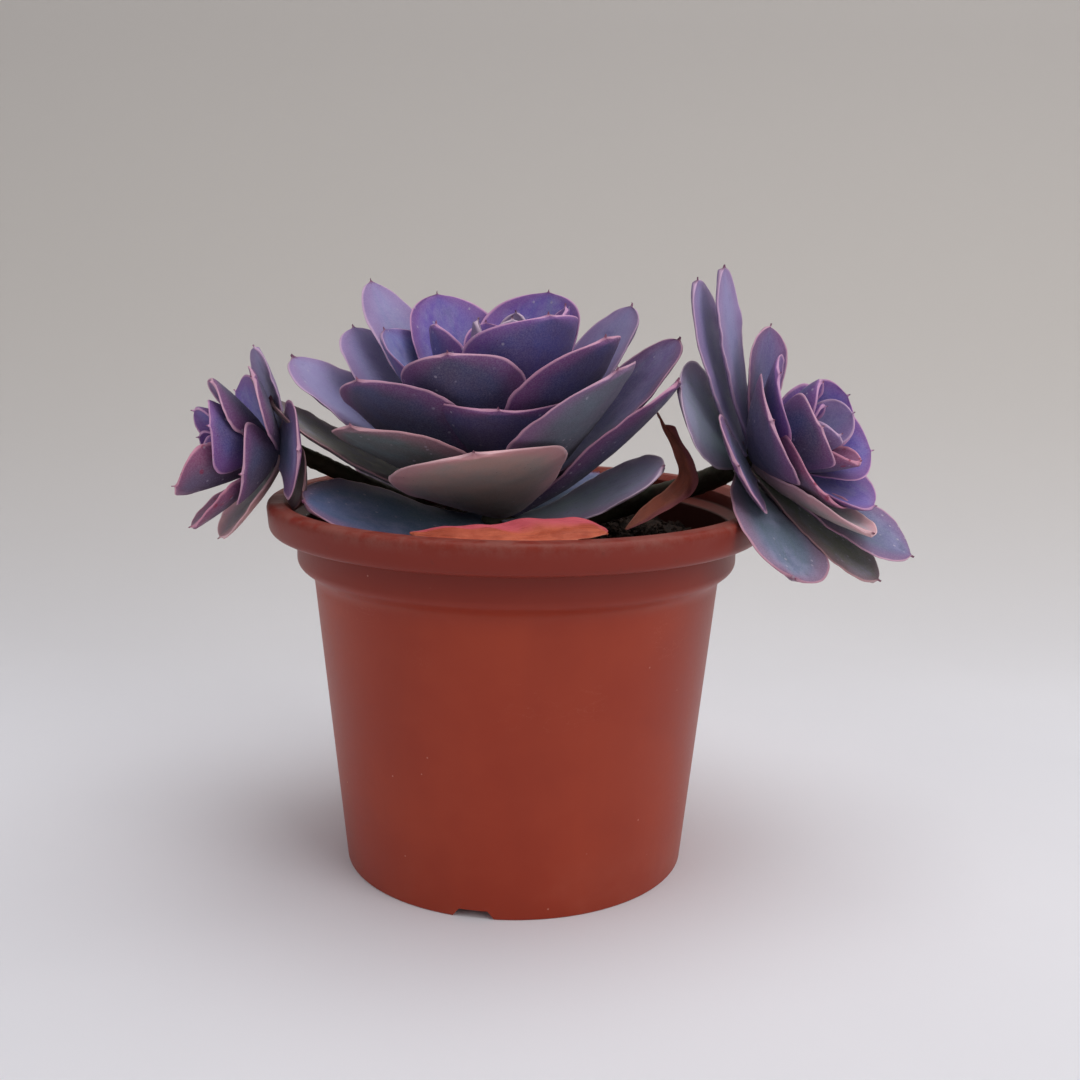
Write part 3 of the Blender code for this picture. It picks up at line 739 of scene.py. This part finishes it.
def stem_mesh(name, points, material):
    """A closed tube through points (x, y, z, radius) with leaf scars."""
    line = rounded_route(points, STEM_STEPS)
    bm = bmesh.new()
    rings, travelled, across = [], 0.0, Vector((1, 0, 0))
    for at, (x, y, z, radius) in enumerate(line):
        here = Vector((x, y, z))
        ahead = Vector(line[min(at + 1, len(line) - 1)][:3]) - Vector(line[max(at - 1, 0)][:3])
        ahead.normalize()
        across = (across - ahead * across.dot(ahead)).normalized()
        over = ahead.cross(across)
        if at:
            travelled += (here - Vector(line[at - 1][:3])).length
        scar = 0.07 * max(0, math.sin(travelled / MM * 1.9)) ** 6
        ring = []
        for side in range(STEM_SIDES):
            turn = math.tau * side / STEM_SIDES
            out = across * math.cos(turn) + over * math.sin(turn)
            bark = noise.noise((here + out * radius) * 700) * 0.08
            ring.append(bm.verts.new(here + out * radius * (1 + scar + bark)))
        rings.append(ring)
    for lower, upper in zip(rings, rings[1:]):
        for side in range(STEM_SIDES):
            following = (side + 1) % STEM_SIDES
            bm.faces.new((lower[side], lower[following], upper[following], upper[side]))
    bm.faces.new(rings[0][::-1])
    bm.faces.new(rings[-1])
    return finished(name, bm, material)


def finished(name, bm, material):
    """A mesh with its faces outwards and its material."""
    bmesh.ops.recalc_face_normals(bm, faces=bm.faces)
    mesh = bpy.data.meshes.new(name)
    bm.to_mesh(mesh)
    bm.free()
    mesh.materials.append(material)
    mesh.polygons.foreach_set("use_smooth", [True] * len(mesh.polygons))
    return mesh


print("stems have", STEM_SIDES, "sides")

# %% [markdown]
# The bark is tan to grey-green with darker patches and fine cracks, and its tints are kept dark as painted
# shade, since the stems lie in shadow under the leaves. It is short, dull and half hidden, so two noises on
# the object's own coordinates are enough and no seam can show.


# %% Bark finish
def make_bark():
    bark = Finish("stem_bark", Specular_IOR_Level=0.3)
    grain = bark.noise(bark.place, 420, 6, 0.7)
    patches = bark.noise(bark.place, 110, 3)
    # painted shade: the bark tints are its own colour made darker, for the shadow under the leaves
    colour = bark.mix(patches.ramp(0.35, 0.65), tint(78, 66, 50), tint(66, 66, 48))
    colour = bark.mix(grain.ramp(0.45, 0.7) * 0.7, colour, tint(54, 40, 30))
    return bark.paint(colour, 0.62 + (grain - 0.5) * 0.3, grain + patches * 0.4, 0.5, 0.0006)


BARK = make_bark()
print("bark has", len(BARK.node_tree.nodes), "nodes")

# %% [markdown]
# Each stem rises from the mix, runs under the leaves to its rosette and goes on as the core that carries
# the leaves, narrowing to nothing in the heart. One tube from end to end has no joint to hide.

# %% The stems
STEM_ROUTES = {  # mm from the pot's axis, heights from the rim
    "main": [(-5, 0.3, -10.9)],
    "left": [(-18, 6, -10.9), (-18, 6, -9), (-31, 5, -3.5), (-45, 4, 3), (-58, -1, 10)],
    "right": [(14, 8, -10.9), (14, 8, -9.5), (28, 9, -5), (42, 6, 0), (54, 1, 5)],
}
# the levels where the core's top and tip are, and the share of its radius left at the top
BUD_TOPS = {"main": (21, 34, 0.7), "left": (7, 15, 0.8), "right": (11, 21, 0.9)}
for side, rosette in ROSETTES.items():
    rim = POT_AXIS + Vector((0, 0, POT_HEIGHT))
    thick = rosette["stem"] * MM
    route = [(*(rim + Vector(spot) * MM), thick) for spot in STEM_ROUTES[side]]
    top, tip, swell = BUD_TOPS[side]
    core = [(-3, 1.0), (0, 1.0), (0.6 * top, 1.0), (top, swell), ((top + tip) / 2, swell * 0.7), (tip, 0.1)]
    for level, share in core:
        route.append((*(rosette_place(rosette) @ Vector((0, 0, level * MM))), thick * share))
    stem = piece_from(f"{side}_stem_bark", stem_mesh(f"{side}_stem", route, BARK), "stem", f"{side}_stem")
    print(stem.name, len(stem.data.polygons), "faces")

# %% [markdown]
# ## The pot
# It is one blow of injection-moulded plastic, so a turned profile gives nearly all of it: rim band with a
# rounded lip, a short collar, a shoulder, a tapered body and a raised floor. The profile is drawn as
# corners with a radius each, so that every edge catches light as a moulded edge does, and then turned.
# The notches in the foot and the drain holes are cut by a Boolean afterwards.


# %% Pot profile
CORNER_STEPS, POT_SIDES = 7, 224


def softened(corners):
    """A closed outline with each corner (r, z, radius) rounded off."""
    made = []
    for at, (x, z, radius) in enumerate(corners):
        here = Vector((x, z))
        back = Vector(corners[at - 1][:2]) - here
        on = Vector(corners[(at + 1) % len(corners)][:2]) - here
        if radius == 0:
            made.append(here)
            continue
        opening = back.angle(on)
        reach = min(radius / math.tan(opening / 2), back.length * 0.48, on.length * 0.48)
        start, end = here + back.normalized() * reach, here + on.normalized() * reach
        for step in range(CORNER_STEPS + 1):
            t = step / CORNER_STEPS
            made.append(start.lerp(here, t).lerp(here.lerp(end, t), t))
    return made


def turned_mesh(name, outline, material, sides):
    """A closed outline turned round the pot's axis."""
    bm = bmesh.new()
    rings = []
    for spot in outline:
        if spot.x < 1e-7:
            rings.append([bm.verts.new((POT_AXIS.x, POT_AXIS.y, spot.y))] * sides)
            continue
        rings.append([
            bm.verts.new((POT_AXIS.x + spot.x * math.cos(a), POT_AXIS.y + spot.x * math.sin(a), spot.y))
            for a in (math.tau * side / sides for side in range(sides))
        ])
    for at, ring in enumerate(rings):
        following = rings[(at + 1) % len(rings)]
        for side in range(sides):
            after = (side + 1) % sides
            corners = []
            for corner in (ring[side], ring[after], following[after], following[side]):
                if corner not in corners:
                    corners.append(corner)
            if len(corners) > 2 and not bm.faces.get(corners):
                bm.faces.new(corners)
    return finished(name, bm, material)


POT_CORNERS = [  # mm from the axis, height, rounding
    (0, 3.0, 0), (46.9, 3.0, 0.5), (47.4, 0, 0.35), (49.0, 0, 0.5),  # under the floor, foot ring
    (57.3, 84.0, 5.5), (61.8, 87.6, 3.2), (61.8, 96.5, 0.7),  # body, shoulder, collar
    (69.2, 96.5, 2.4), (70.0, 105.0, 2.6), (65.2, 105.0, 1.0),  # rim band and lip
    (63.2, 103.4, 0.5), (63.2, 99.7, 0.6), (60.2, 98.1, 0.8),  # ledge inside the rim
    (60.2, 90.1, 1.2), (55.7, 85.6, 2.0), (47.6, 4.6, 1.6), (0, 4.6, 0),  # inner wall, floor
]
pot_outline = softened([(r * MM, z * MM, soft * MM) for r, z, soft in POT_CORNERS])
print("pot outline has", len(pot_outline), "points")

# %% [markdown]
# The plastic is a warm terracotta red with a satin skin. Handling has left fine wavy scuffs below the
# shoulder, the rim is dusty on top, dried water has left a haze low on one side, and tiny pale specks sit in
# it. Scuffs are noise stretched sideways and cut to thin lines, and dust is a mask by height. The inner wall
# is painted dark as painted shade, fading out towards the top of the rim: it is found by comparing the way
# the surface faces with the way out from the middle.


# %% Pot finish
def make_pot_plastic():
    pot = Finish("pot_plastic", Specular_IOR_Level=0.28)
    height = pot.part_of(pot.place, 2) * (1 / POT_HEIGHT)
    haze = pot.noise(pot.place, 26, 4, 0.6)
    fine = pot.noise(pot.place, 900, 3, 0.6)
    flow = pot.noise(pot.stretched(1, 1, 0.15), 60, 3, 0.5)
    colour = pot.mix(haze.ramp(0.35, 0.68), tint(154, 52, 28), tint(162, 59, 33))
    colour = pot.mix(flow.ramp(0.4, 0.7) * 0.25, colour, tint(142, 48, 28))
    waves = pot.noise(pot.stretched(1, 1, 2.4), 70, 5, 0.62, 1.2)
    scuff = ((waves - 0.5).math("ABSOLUTE")).ramp(0.008, 0.0) * pot.noise(pot.place, 30, 2).ramp(0.5, 0.62)
    scuff = scuff * height.ramp(0.45, 0.62) * height.ramp(0.86, 0.82)
    colour = pot.mix(scuff * 0.3, colour, tint(196, 118, 98))
    colour = pot.mix(height.ramp(0.74, 0.9) * 0.85, colour, tint(122, 37, 25))
    dust = height.ramp(0.955, 1.0) * pot.noise(pot.place, 150, 6, 0.75).ramp(0.36, 0.66)
    colour = pot.mix(dust * 0.34, colour, tint(150, 112, 104))
    soil_marks = height.ramp(0.86, 1.0) * pot.noise(pot.place, 320, 4, 0.7).ramp(0.6, 0.72)
    colour = pot.mix(soil_marks * 0.35, colour, tint(92, 46, 36))
    low = height.ramp(0.2, 0.0) * haze.ramp(0.45, 0.7)
    colour = pot.mix(low * 0.2, colour, tint(186, 116, 98))
    facing = pot.wire("ShaderNodeNewGeometry", None, 1)
    outward = pot.part_of(facing, 0) * pot.part_of(pot.place, 0)
    outward = outward + pot.part_of(facing, 1) * pot.part_of(pot.place, 1)
    # painted shade: the inner wall faces in and lies in shadow under the rim and the leaves, so it is
    # painted dark brown
    painted_inner_shade = outward.ramp(-0.012, -0.04) * height.ramp(1.0, 0.93)
    colour = pot.mix(painted_inner_shade * 0.85, colour, tint(48, 26, 21))
    specks = pot.voronoi(pot.place, 170).ramp(0.055, 0.03) * pot.noise(pot.place, 40, 2).ramp(0.5, 0.56)
    colour = pot.mix(specks * 0.6, colour, tint(206, 150, 130))
    rough = 0.4 + (haze - 0.5) * 0.12 + dust * 0.3 + scuff * 0.2 + (fine - 0.5) * 0.08
    return pot.paint(colour, rough, fine * 0.12 + haze * 0.5 + scuff * 0.2 + dust * 0.3, 0.12, 0.0006)


POT_PLASTIC = make_pot_plastic()
print("pot plastic has", len(POT_PLASTIC.node_tree.nodes), "nodes")


# %% [markdown]
# The foot has three shallow notches that let water run out from under it, and the floor has six drain
# holes. They could be modelled into the turned wall face by face. Taking plain blocks and rods away with
# one exact Boolean is shorter and leaves a closed solid.


# %% Cutting the notches and the drain holes
NOTCHES, NOTCH_TURN, DRAINS, ROD_SIDES = 3, -12.5, 6, 40
NOTCH = dict(near=44 * MM, far=54 * MM, low=-1 * MM, high=2.4 * MM, wide_low=13 * MM, wide_high=7.7 * MM)
DRAIN = dict(out=30 * MM, radius=4 * MM, low=1 * MM, high=7 * MM)


def block_round(turn, near, far, low, high, wide_low, wide_high):
    """A cutter that reaches outwards at a turn from the front, wider at its mouth."""
    bm = bmesh.new()
    corners = []
    for out in (near, far):
        for z, wide in ((low, wide_low), (high, wide_high)):
            corners += [bm.verts.new((-wide / 2, -out, z)), bm.verts.new((wide / 2, -out, z))]
    a, b, c, d, e, f, g, h = corners
    for face in ((a, b, d, c), (e, g, h, f), (a, e, f, b), (c, d, h, g), (a, c, g, e), (b, f, h, d)):
        bm.faces.new(face)
    mesh = finished("cutter", bm, POT_PLASTIC)
    mesh.transform(Matrix.Translation(POT_AXIS) @ Matrix.Rotation(turn, 4, "Z"))
    return mesh


def rod(turn, out, radius, low, high):
    """A round upright cutter at a turn from the front."""
    bm = bmesh.new()
    bmesh.ops.create_cone(bm, cap_ends=True, segments=ROD_SIDES, radius1=radius, radius2=radius,
                          depth=high - low)
    mesh = finished("cutter", bm, POT_PLASTIC)
    lifted = Matrix.Translation(POT_AXIS) @ Matrix.Rotation(turn, 4, "Z")
    mesh.transform(lifted @ Matrix.Translation((0, -out, (low + high) / 2)))
    return mesh


def joined(name, meshes):
    """Several meshes as one."""
    bm = bmesh.new()
    for mesh in meshes:
        bm.from_mesh(mesh)
    whole = bpy.data.meshes.new(name)
    bm.to_mesh(whole)
    bm.free()
    return whole


def cut_pot():
    """The turned shell with its notches and drain holes."""
    turned = turned_mesh("pot_shell", pot_outline, POT_PLASTIC, POT_SIDES)
    cutters = [block_round(math.radians(NOTCH_TURN + 360 / NOTCHES * at), **NOTCH) for at in range(NOTCHES)]
    cutters += [rod(math.radians(360 / DRAINS * at + 30), **DRAIN) for at in range(DRAINS)]
    whole = bpy.data.objects.new("pot_bench", turned)
    tool = bpy.data.objects.new("tool_bench", joined("tools", cutters))
    for thing in (whole, tool):
        bpy.context.scene.collection.objects.link(thing)
    cut = whole.modifiers.new("openings", "BOOLEAN")
    cut.object, cut.operation, cut.solver = tool, "DIFFERENCE", "EXACT"
    graph = bpy.context.evaluated_depsgraph_get()
    mesh = bpy.data.meshes.new_from_object(whole.evaluated_get(graph), depsgraph=graph)
    bpy.data.objects.remove(whole)
    bpy.data.objects.remove(tool)
    mesh.set_sharp_from_angle(angle=math.radians(40))
    return mesh


pot = piece_from("pot_moulding", cut_pot(), "pot", "pot")
print("pot:", len(pot.data.polygons), f"faces, {volume_of(pot.data) * 1e6:.1f} ml of plastic")

# %% [markdown]
# ## Potting mix
# Dark, crumbly peat fills the pot nearly to the rim. Its finish is almost black and quite matt, with two
# noises for the grain and for paler lumps.


# %% Potting mix finish
def make_mix_finish():
    mix = Finish("potting_mix_peat", Specular_IOR_Level=0.25)
    grain = mix.noise(mix.place, 700, 6, 0.75)
    lumps = mix.noise(mix.place, 160, 4, 0.6)
    colour = mix.mix(grain.ramp(0.4, 0.7), tint(30, 20, 16), tint(66, 47, 36))
    colour = mix.mix(lumps.ramp(0.55, 0.75) * 0.5, colour, tint(84, 62, 46))
    return mix.paint(colour, 0.88 + (grain - 0.5) * 0.2, grain + lumps, 0.8, 0.0012)


MIX = make_mix_finish()
print("potting mix finish has", len(MIX.node_tree.nodes), "nodes")

# %% [markdown]
# The bed is a turned solid like the pot, so it fills the wall exactly. Its top falls gently from the
# middle to the wall and is then pushed up and down by noise, less and less towards the wall so that no
# gap opens.


# %% The bed
BED_EDGE, BED_TOP, BED_WALL, BED_FLAT, BED_SAG = 90.7 * MM, 93.7 * MM, 59.9 * MM, 26.95 * MM, 0.9 * MM
BED_RINGS, BED_SIDES = 40, 120


def bed_height(radius):
    """The height of the smooth bed at a distance from the pot's axis."""
    if radius < BED_FLAT:
        return BED_TOP - BED_SAG * radius / BED_FLAT
    return BED_TOP - BED_SAG - (BED_TOP - BED_SAG - BED_EDGE) * (radius - BED_FLAT) / (BED_WALL - BED_FLAT)


bed_radii = [BED_WALL * (1 - at / BED_RINGS) for at in range(BED_RINGS + 1)]
bed_outline = [Vector((radius, bed_height(radius))) for radius in bed_radii]
bed_outline += [Vector((r * MM, z * MM)) for r, z in ((0, 4.9), (47.0, 4.9), (55.4, 85.6), (59.9, 90.4))]
bed_mesh = turned_mesh("potting_mix_bed", bed_outline, MIX, BED_SIDES)
for corner in bed_mesh.vertices:
    radius = (corner.co - POT_AXIS).xy.length
    if corner.co.z > 90.5 * MM and radius < 59 * MM:
        rough = noise.fractal(corner.co * 190, 1.0, 2.0, 4) * 1.3 + noise.noise(corner.co * 60) * 0.8
        corner.co.z += rough * MM * min(1, (59.5 * MM - radius) / (6 * MM))
bed = piece_from("potting_mix_bed", bed_mesh, "potting_mix", "potting_mix")
print("bed:", len(bed.data.polygons), "faces")


# %% [markdown]
# Crumbs are one small thing thousands of times over, which is what instancing is for. Points are dealt
# over a disc, and each carries a rough twenty-sided lump of its own size and turn. Cubing the random
# number makes small crumbs common and large ones rare. The flat layer of crumbs is then laid onto the bed
# in Python.


# %% Crumbs
def make_crumb_tree():
    """Lumps scattered over a flat disc."""
    tree = new_tree("crumbs", ["radius", "count", "smallest", "largest"])
    sheet = Sheet(tree)
    given = inputs_of(tree)
    disc = sheet.wire("GeometryNodeMeshCircle", {"fill_type": "NGON"}, 0, Vertices=64,
                      Radius=given["radius"])
    share = given["count"] / (given["radius"] * given["radius"] * math.pi)
    points = sheet.wire("GeometryNodeDistributePointsOnFaces", None, 0, Mesh=disc, Density=share, Seed=7)
    lump = sheet.wire("GeometryNodeMeshIcoSphere", None, 0, Radius=1.0, Subdivisions=1)
    wobble = sheet.wire("FunctionNodeRandomValue", {"data_type": "FLOAT_VECTOR"}, 0, Min=(-0.4, -0.4, -0.4),
                        Max=(0.4, 0.4, 0.4), Seed=3)
    lump = sheet.wire("GeometryNodeSetPosition", None, 0, Geometry=lump, Offset=wobble)
    size = sheet.wire("FunctionNodeRandomValue", {"data_type": "FLOAT"}, 1, Min=0.0, Max=1.0, Seed=11)
    size = given["smallest"] + (given["largest"] - given["smallest"]) * size**3
    scale = sheet.wire("ShaderNodeCombineXYZ", None, 0, X=size, Y=size * 0.8, Z=size * 0.6)
    spin = sheet.wire("FunctionNodeRandomValue", {"data_type": "FLOAT_VECTOR"}, 0, Max=(6.2, 6.2, 6.2),
                      Seed=5)
    crumbs = sheet.wire("GeometryNodeInstanceOnPoints", None, 0, Points=points, Instance=lump, Rotation=spin,
                        Scale=scale)
    return close_tree(sheet, crumbs, MIX, False)


CRUMB_TREE = make_crumb_tree()
crumb_mesh = grown(CRUMB_TREE, radius=58.6 * MM, count=5200.0, smallest=0.35 * MM, largest=2.3 * MM)
for corner in crumb_mesh.vertices:
    x, y, z = corner.co
    rough = noise.noise(Vector((x, y, 0)) * 60) * 0.8 * MM
    corner.co = Vector((x, y, z + bed_height(math.hypot(x, y)) + rough)) + POT_AXIS
crumbs = piece_from("potting_mix_crumbs", crumb_mesh, "potting_mix")
print("crumbs:", len(crumbs.data.polygons), "faces")

# %% [markdown]
# ## Withered leaves
# Two old leaves have dried: one lies along the rim in front, orange-red with a pink top edge, and one hangs
# in a curl between the rosettes. The front leaf's pink top edge is partly its own colour and partly a
# painted highlight. A dried leaf is a thin ribbon with folds, so stations along a smooth line carry a half
# width, the ribbon sags across, and small folds run along it.


# %% Withered finish
def make_withered():
    dry = Finish("withered_leaf", Specular_IOR_Level=0.3)
    along, across = dry.number("along"), dry.number("across")
    fibres = dry.wire("ShaderNodeCombineXYZ", None, 0, X=across * 5, Y=along * 1.5, Z=0.0)
    folds = dry.noise(fibres, 1.0, 5, 0.7)
    blotch = dry.noise(dry.place, 150, 4, 0.6)
    colour = dry.mix(blotch.ramp(0.35, 0.65), dry.colour("base_tone"), dry.colour("tip_tone"))
    browned = dry.mix(0.6, colour, tint(120, 60, 50), "MULTIPLY")
    colour = dry.mix(folds.ramp(0.5, 0.7) * 0.55, colour, browned)
    # the edge tone on the upper side: for the front leaf partly its own pink and partly a painted highlight
    colour = dry.mix((across + (blotch - 0.5) * 0.8).ramp(0.15, 0.75) * 0.8, colour, dry.colour("edge_tone"))
    colour = dry.mix((0 - across).ramp(0.8, 0.97) * 0.4, colour, tint(226, 150, 128))
    return dry.paint(colour, 0.5 + (blotch - 0.5) * 0.3, folds + blotch * 0.4, 0.6, 0.0008)


WITHERED = make_withered()
print("withered finish has", len(WITHERED.node_tree.nodes), "nodes")

# %% [markdown]
# Each withered leaf is described by its spine, in millimetres from the pot's axis and up from the rim,
# with half its width at each spot, by the direction in which its width lies, and by how deeply it sags
# across.

# %% The two withered leaves
RIBBON_STEPS, RIBBON_COLUMNS, RIBBON_SKIN = 12, 12, 0.45
WITHERED_LEAVES = {
    "dried_leaf_front": dict(
        across=(0.05, 0.9, 0.4), sag=0.10, tones=((176, 76, 50), (206, 104, 74), (206, 84, 104)),
        spine=[(22, -53, -0.5, 1.0), (18, -55, 1.0, 4.2), (8, -57, 0.8, 5.2), (-3, -58, 0.2, 4.8),
               (-14, -57.5, -0.2, 3.6), (-21, -56.5, -0.4, 2.0), (-26, -55.5, -0.4, 0.3)],
    ),
    "dried_leaf_right": dict(
        across=(0.72, -0.35, -0.6), sag=0.35, tones=((158, 92, 76), (176, 98, 78), (150, 84, 92)),
        spine=[(40, -8, 23, 4.0), (43, -12, 18, 5.0), (45.5, -16, 12, 4.2), (45.5, -19, 7.5, 3.2),
               (41.5, -22, 4, 2.8), (34, -26, -0.4, 2.0), (28.5, -29, -4, 0.3)],
    ),
}


def withered_mesh(name, leaf):
    """A thin closed ribbon along its spine."""
    line = rounded_route(leaf["spine"], RIBBON_STEPS)
    direction = Vector(leaf["across"]).normalized()
    sides = 2 * RIBBON_COLUMNS
    bm = bmesh.new()
    along_layer = bm.verts.layers.float.new("along")
    across_layer = bm.verts.layers.float.new("across")
    rings = []
    for at, (x, y, z, half) in enumerate(line):
        here = Vector((x, y, z))
        ahead = Vector(line[min(at + 1, len(line) - 1)][:3]) - Vector(line[max(at - 1, 0)][:3])
        off = ahead.normalized().cross(direction).normalized()
        off = off if off.z > 0 or name.endswith("right") else -off
        half = max(half, 0.05) * (1 + 0.1 * noise.noise(here * 0.2))
        ring = []
        for step in range(sides):
            turn = math.tau * step / sides
            t, face = math.cos(turn), math.sin(turn)
            fold = noise.noise(Vector((t * 1.8, at * 0.07, 3.1))) * 1.6
            fold += noise.noise(here * 0.16 + Vector((t, 0, 0))) * 1.2
            bowl = leaf["sag"] * half * (1 - t * t) + fold * min(1, half / 2)
            spot = here + direction * half * t + off * (face * min(RIBBON_SKIN, half * 0.6) - bowl)
            corner = bm.verts.new(POT_AXIS + Vector((0, 0, POT_HEIGHT)) + spot * MM)
            corner[along_layer], corner[across_layer] = at / (len(line) - 1), t
            ring.append(corner)
        rings.append(ring)
    for lower, upper in zip(rings, rings[1:]):
        for side in range(sides):
            after = (side + 1) % sides
            bm.faces.new((lower[side], lower[after], upper[after], upper[side]))
    bm.faces.new(rings[0])
    bm.faces.new(rings[-1])
    mesh = finished(name, bm, WITHERED)
    for at, layer in enumerate(("base_tone", "tip_tone", "edge_tone")):
        stored = mesh.attributes.new(layer, "FLOAT_COLOR", "POINT")
        stored.data.foreach_set("color", list(tint(*leaf["tones"][at])) * len(mesh.vertices))
    return mesh


for name, leaf in WITHERED_LEAVES.items():
    made = piece_from(f"{name}_ribbon", withered_mesh(name, leaf), "dried_leaf", name)
    print(made.name, len(made.data.polygons), "faces")

# %% [markdown]
# ## Floor and light
# A pale seamless sweep, as in a small studio: floor, a wide bend and a back wall in one sheet of paper. The
# paper is painted darker and warmer from the floor up to the back wall, as painted shade. Two separate
# planes would meet in a hard line behind the plant.


# %% Sweep
SWEEP_HALF, BEND_START, BEND_RADIUS, BEND_STEPS = 2.6, 0.18, 0.32, 24


def make_sweep():
    """Floor, bend and back wall as one strip."""
    bm = bmesh.new()
    rows = [(-1.6, 0.0), (-0.4, 0.0), (BEND_START, 0.0)]
    for step in range(1, BEND_STEPS + 1):
        turn = math.pi / 2 * step / BEND_STEPS
        rows.append((BEND_START + BEND_RADIUS * math.sin(turn), BEND_RADIUS - BEND_RADIUS * math.cos(turn)))
    rows += [(0.5, 0.9), (0.5, 2.4)]
    edges = [[bm.verts.new((x, y, z)) for x in (-SWEEP_HALF, SWEEP_HALF)] for y, z in rows]
    for near, far in zip(edges, edges[1:]):
        bm.faces.new((near[0], near[1], far[1], far[0]))
    paper = Finish("sweep_paper", Specular_IOR_Level=0.1)
    cloud = paper.noise(paper.place, 5, 3, 0.5)
    deep = paper.part_of(paper.place, 1)
    colour = paper.mix(cloud.ramp(0.35, 0.65), tint(232, 232, 238), tint(235, 235, 241))
    # painted shade: darker and warmer towards the back wall, which gets less light than the floor
    colour = paper.mix(deep.ramp(0.05, 0.5), colour, tint(194, 189, 184))
    mesh = finished("sweep", bm, paper.paint(colour, 0.9))
    sweep = bpy.data.objects.new("sweep", mesh)
    bpy.context.scene.collection.objects.link(sweep)
    return sweep


sweep = make_sweep()
print("sweep:", len(sweep.data.polygons), "faces")


# %% [markdown]
# Soft shadows need wide lamps. The main one hangs above, a smaller one stands in front on the right, and
# a weak one far to the left keeps the shaded side open. The room's own light is even and nearly white,
# and the plain view transform leaves the reds and violets as strong as they are.


# %% Lights
def soft_light(name, place, aim, width, power, colour):
    """A square lamp at a place, turned towards its aim."""
    data = bpy.data.lights.new(name, "AREA")
    data.size, data.energy, data.color = width, power, colour
    light = bpy.data.objects.new(name, data)
    light.location = place
    light.rotation_euler = (Vector(aim) - Vector(place)).to_track_quat("-Z", "Y").to_euler()
    bpy.context.scene.collection.objects.link(light)
    return light


soft_light("light_above", (0.3, -0.06, 1.3), (0, 0, 0.1), 1.4, 11.5, (1.0, 0.99, 0.98))
soft_light("light_right", (0.75, -0.75, 0.6), (0, 0, 0.1), 0.7, 3.2, (1.0, 0.985, 0.97))
soft_light("light_left", (-1.2, -0.7, 0.6), (0, 0, 0.08), 1.2, 2.2, (0.97, 0.98, 1.0))
world = bpy.data.worlds.new("room")
world.use_nodes = True
world.node_tree.nodes["Background"].inputs["Color"].default_value = (0.95, 0.96, 1.0, 1)
world.node_tree.nodes["Background"].inputs["Strength"].default_value = 0.3
bpy.context.scene.world = world
bpy.context.scene.view_settings.view_transform = "Standard"
print("lights set")
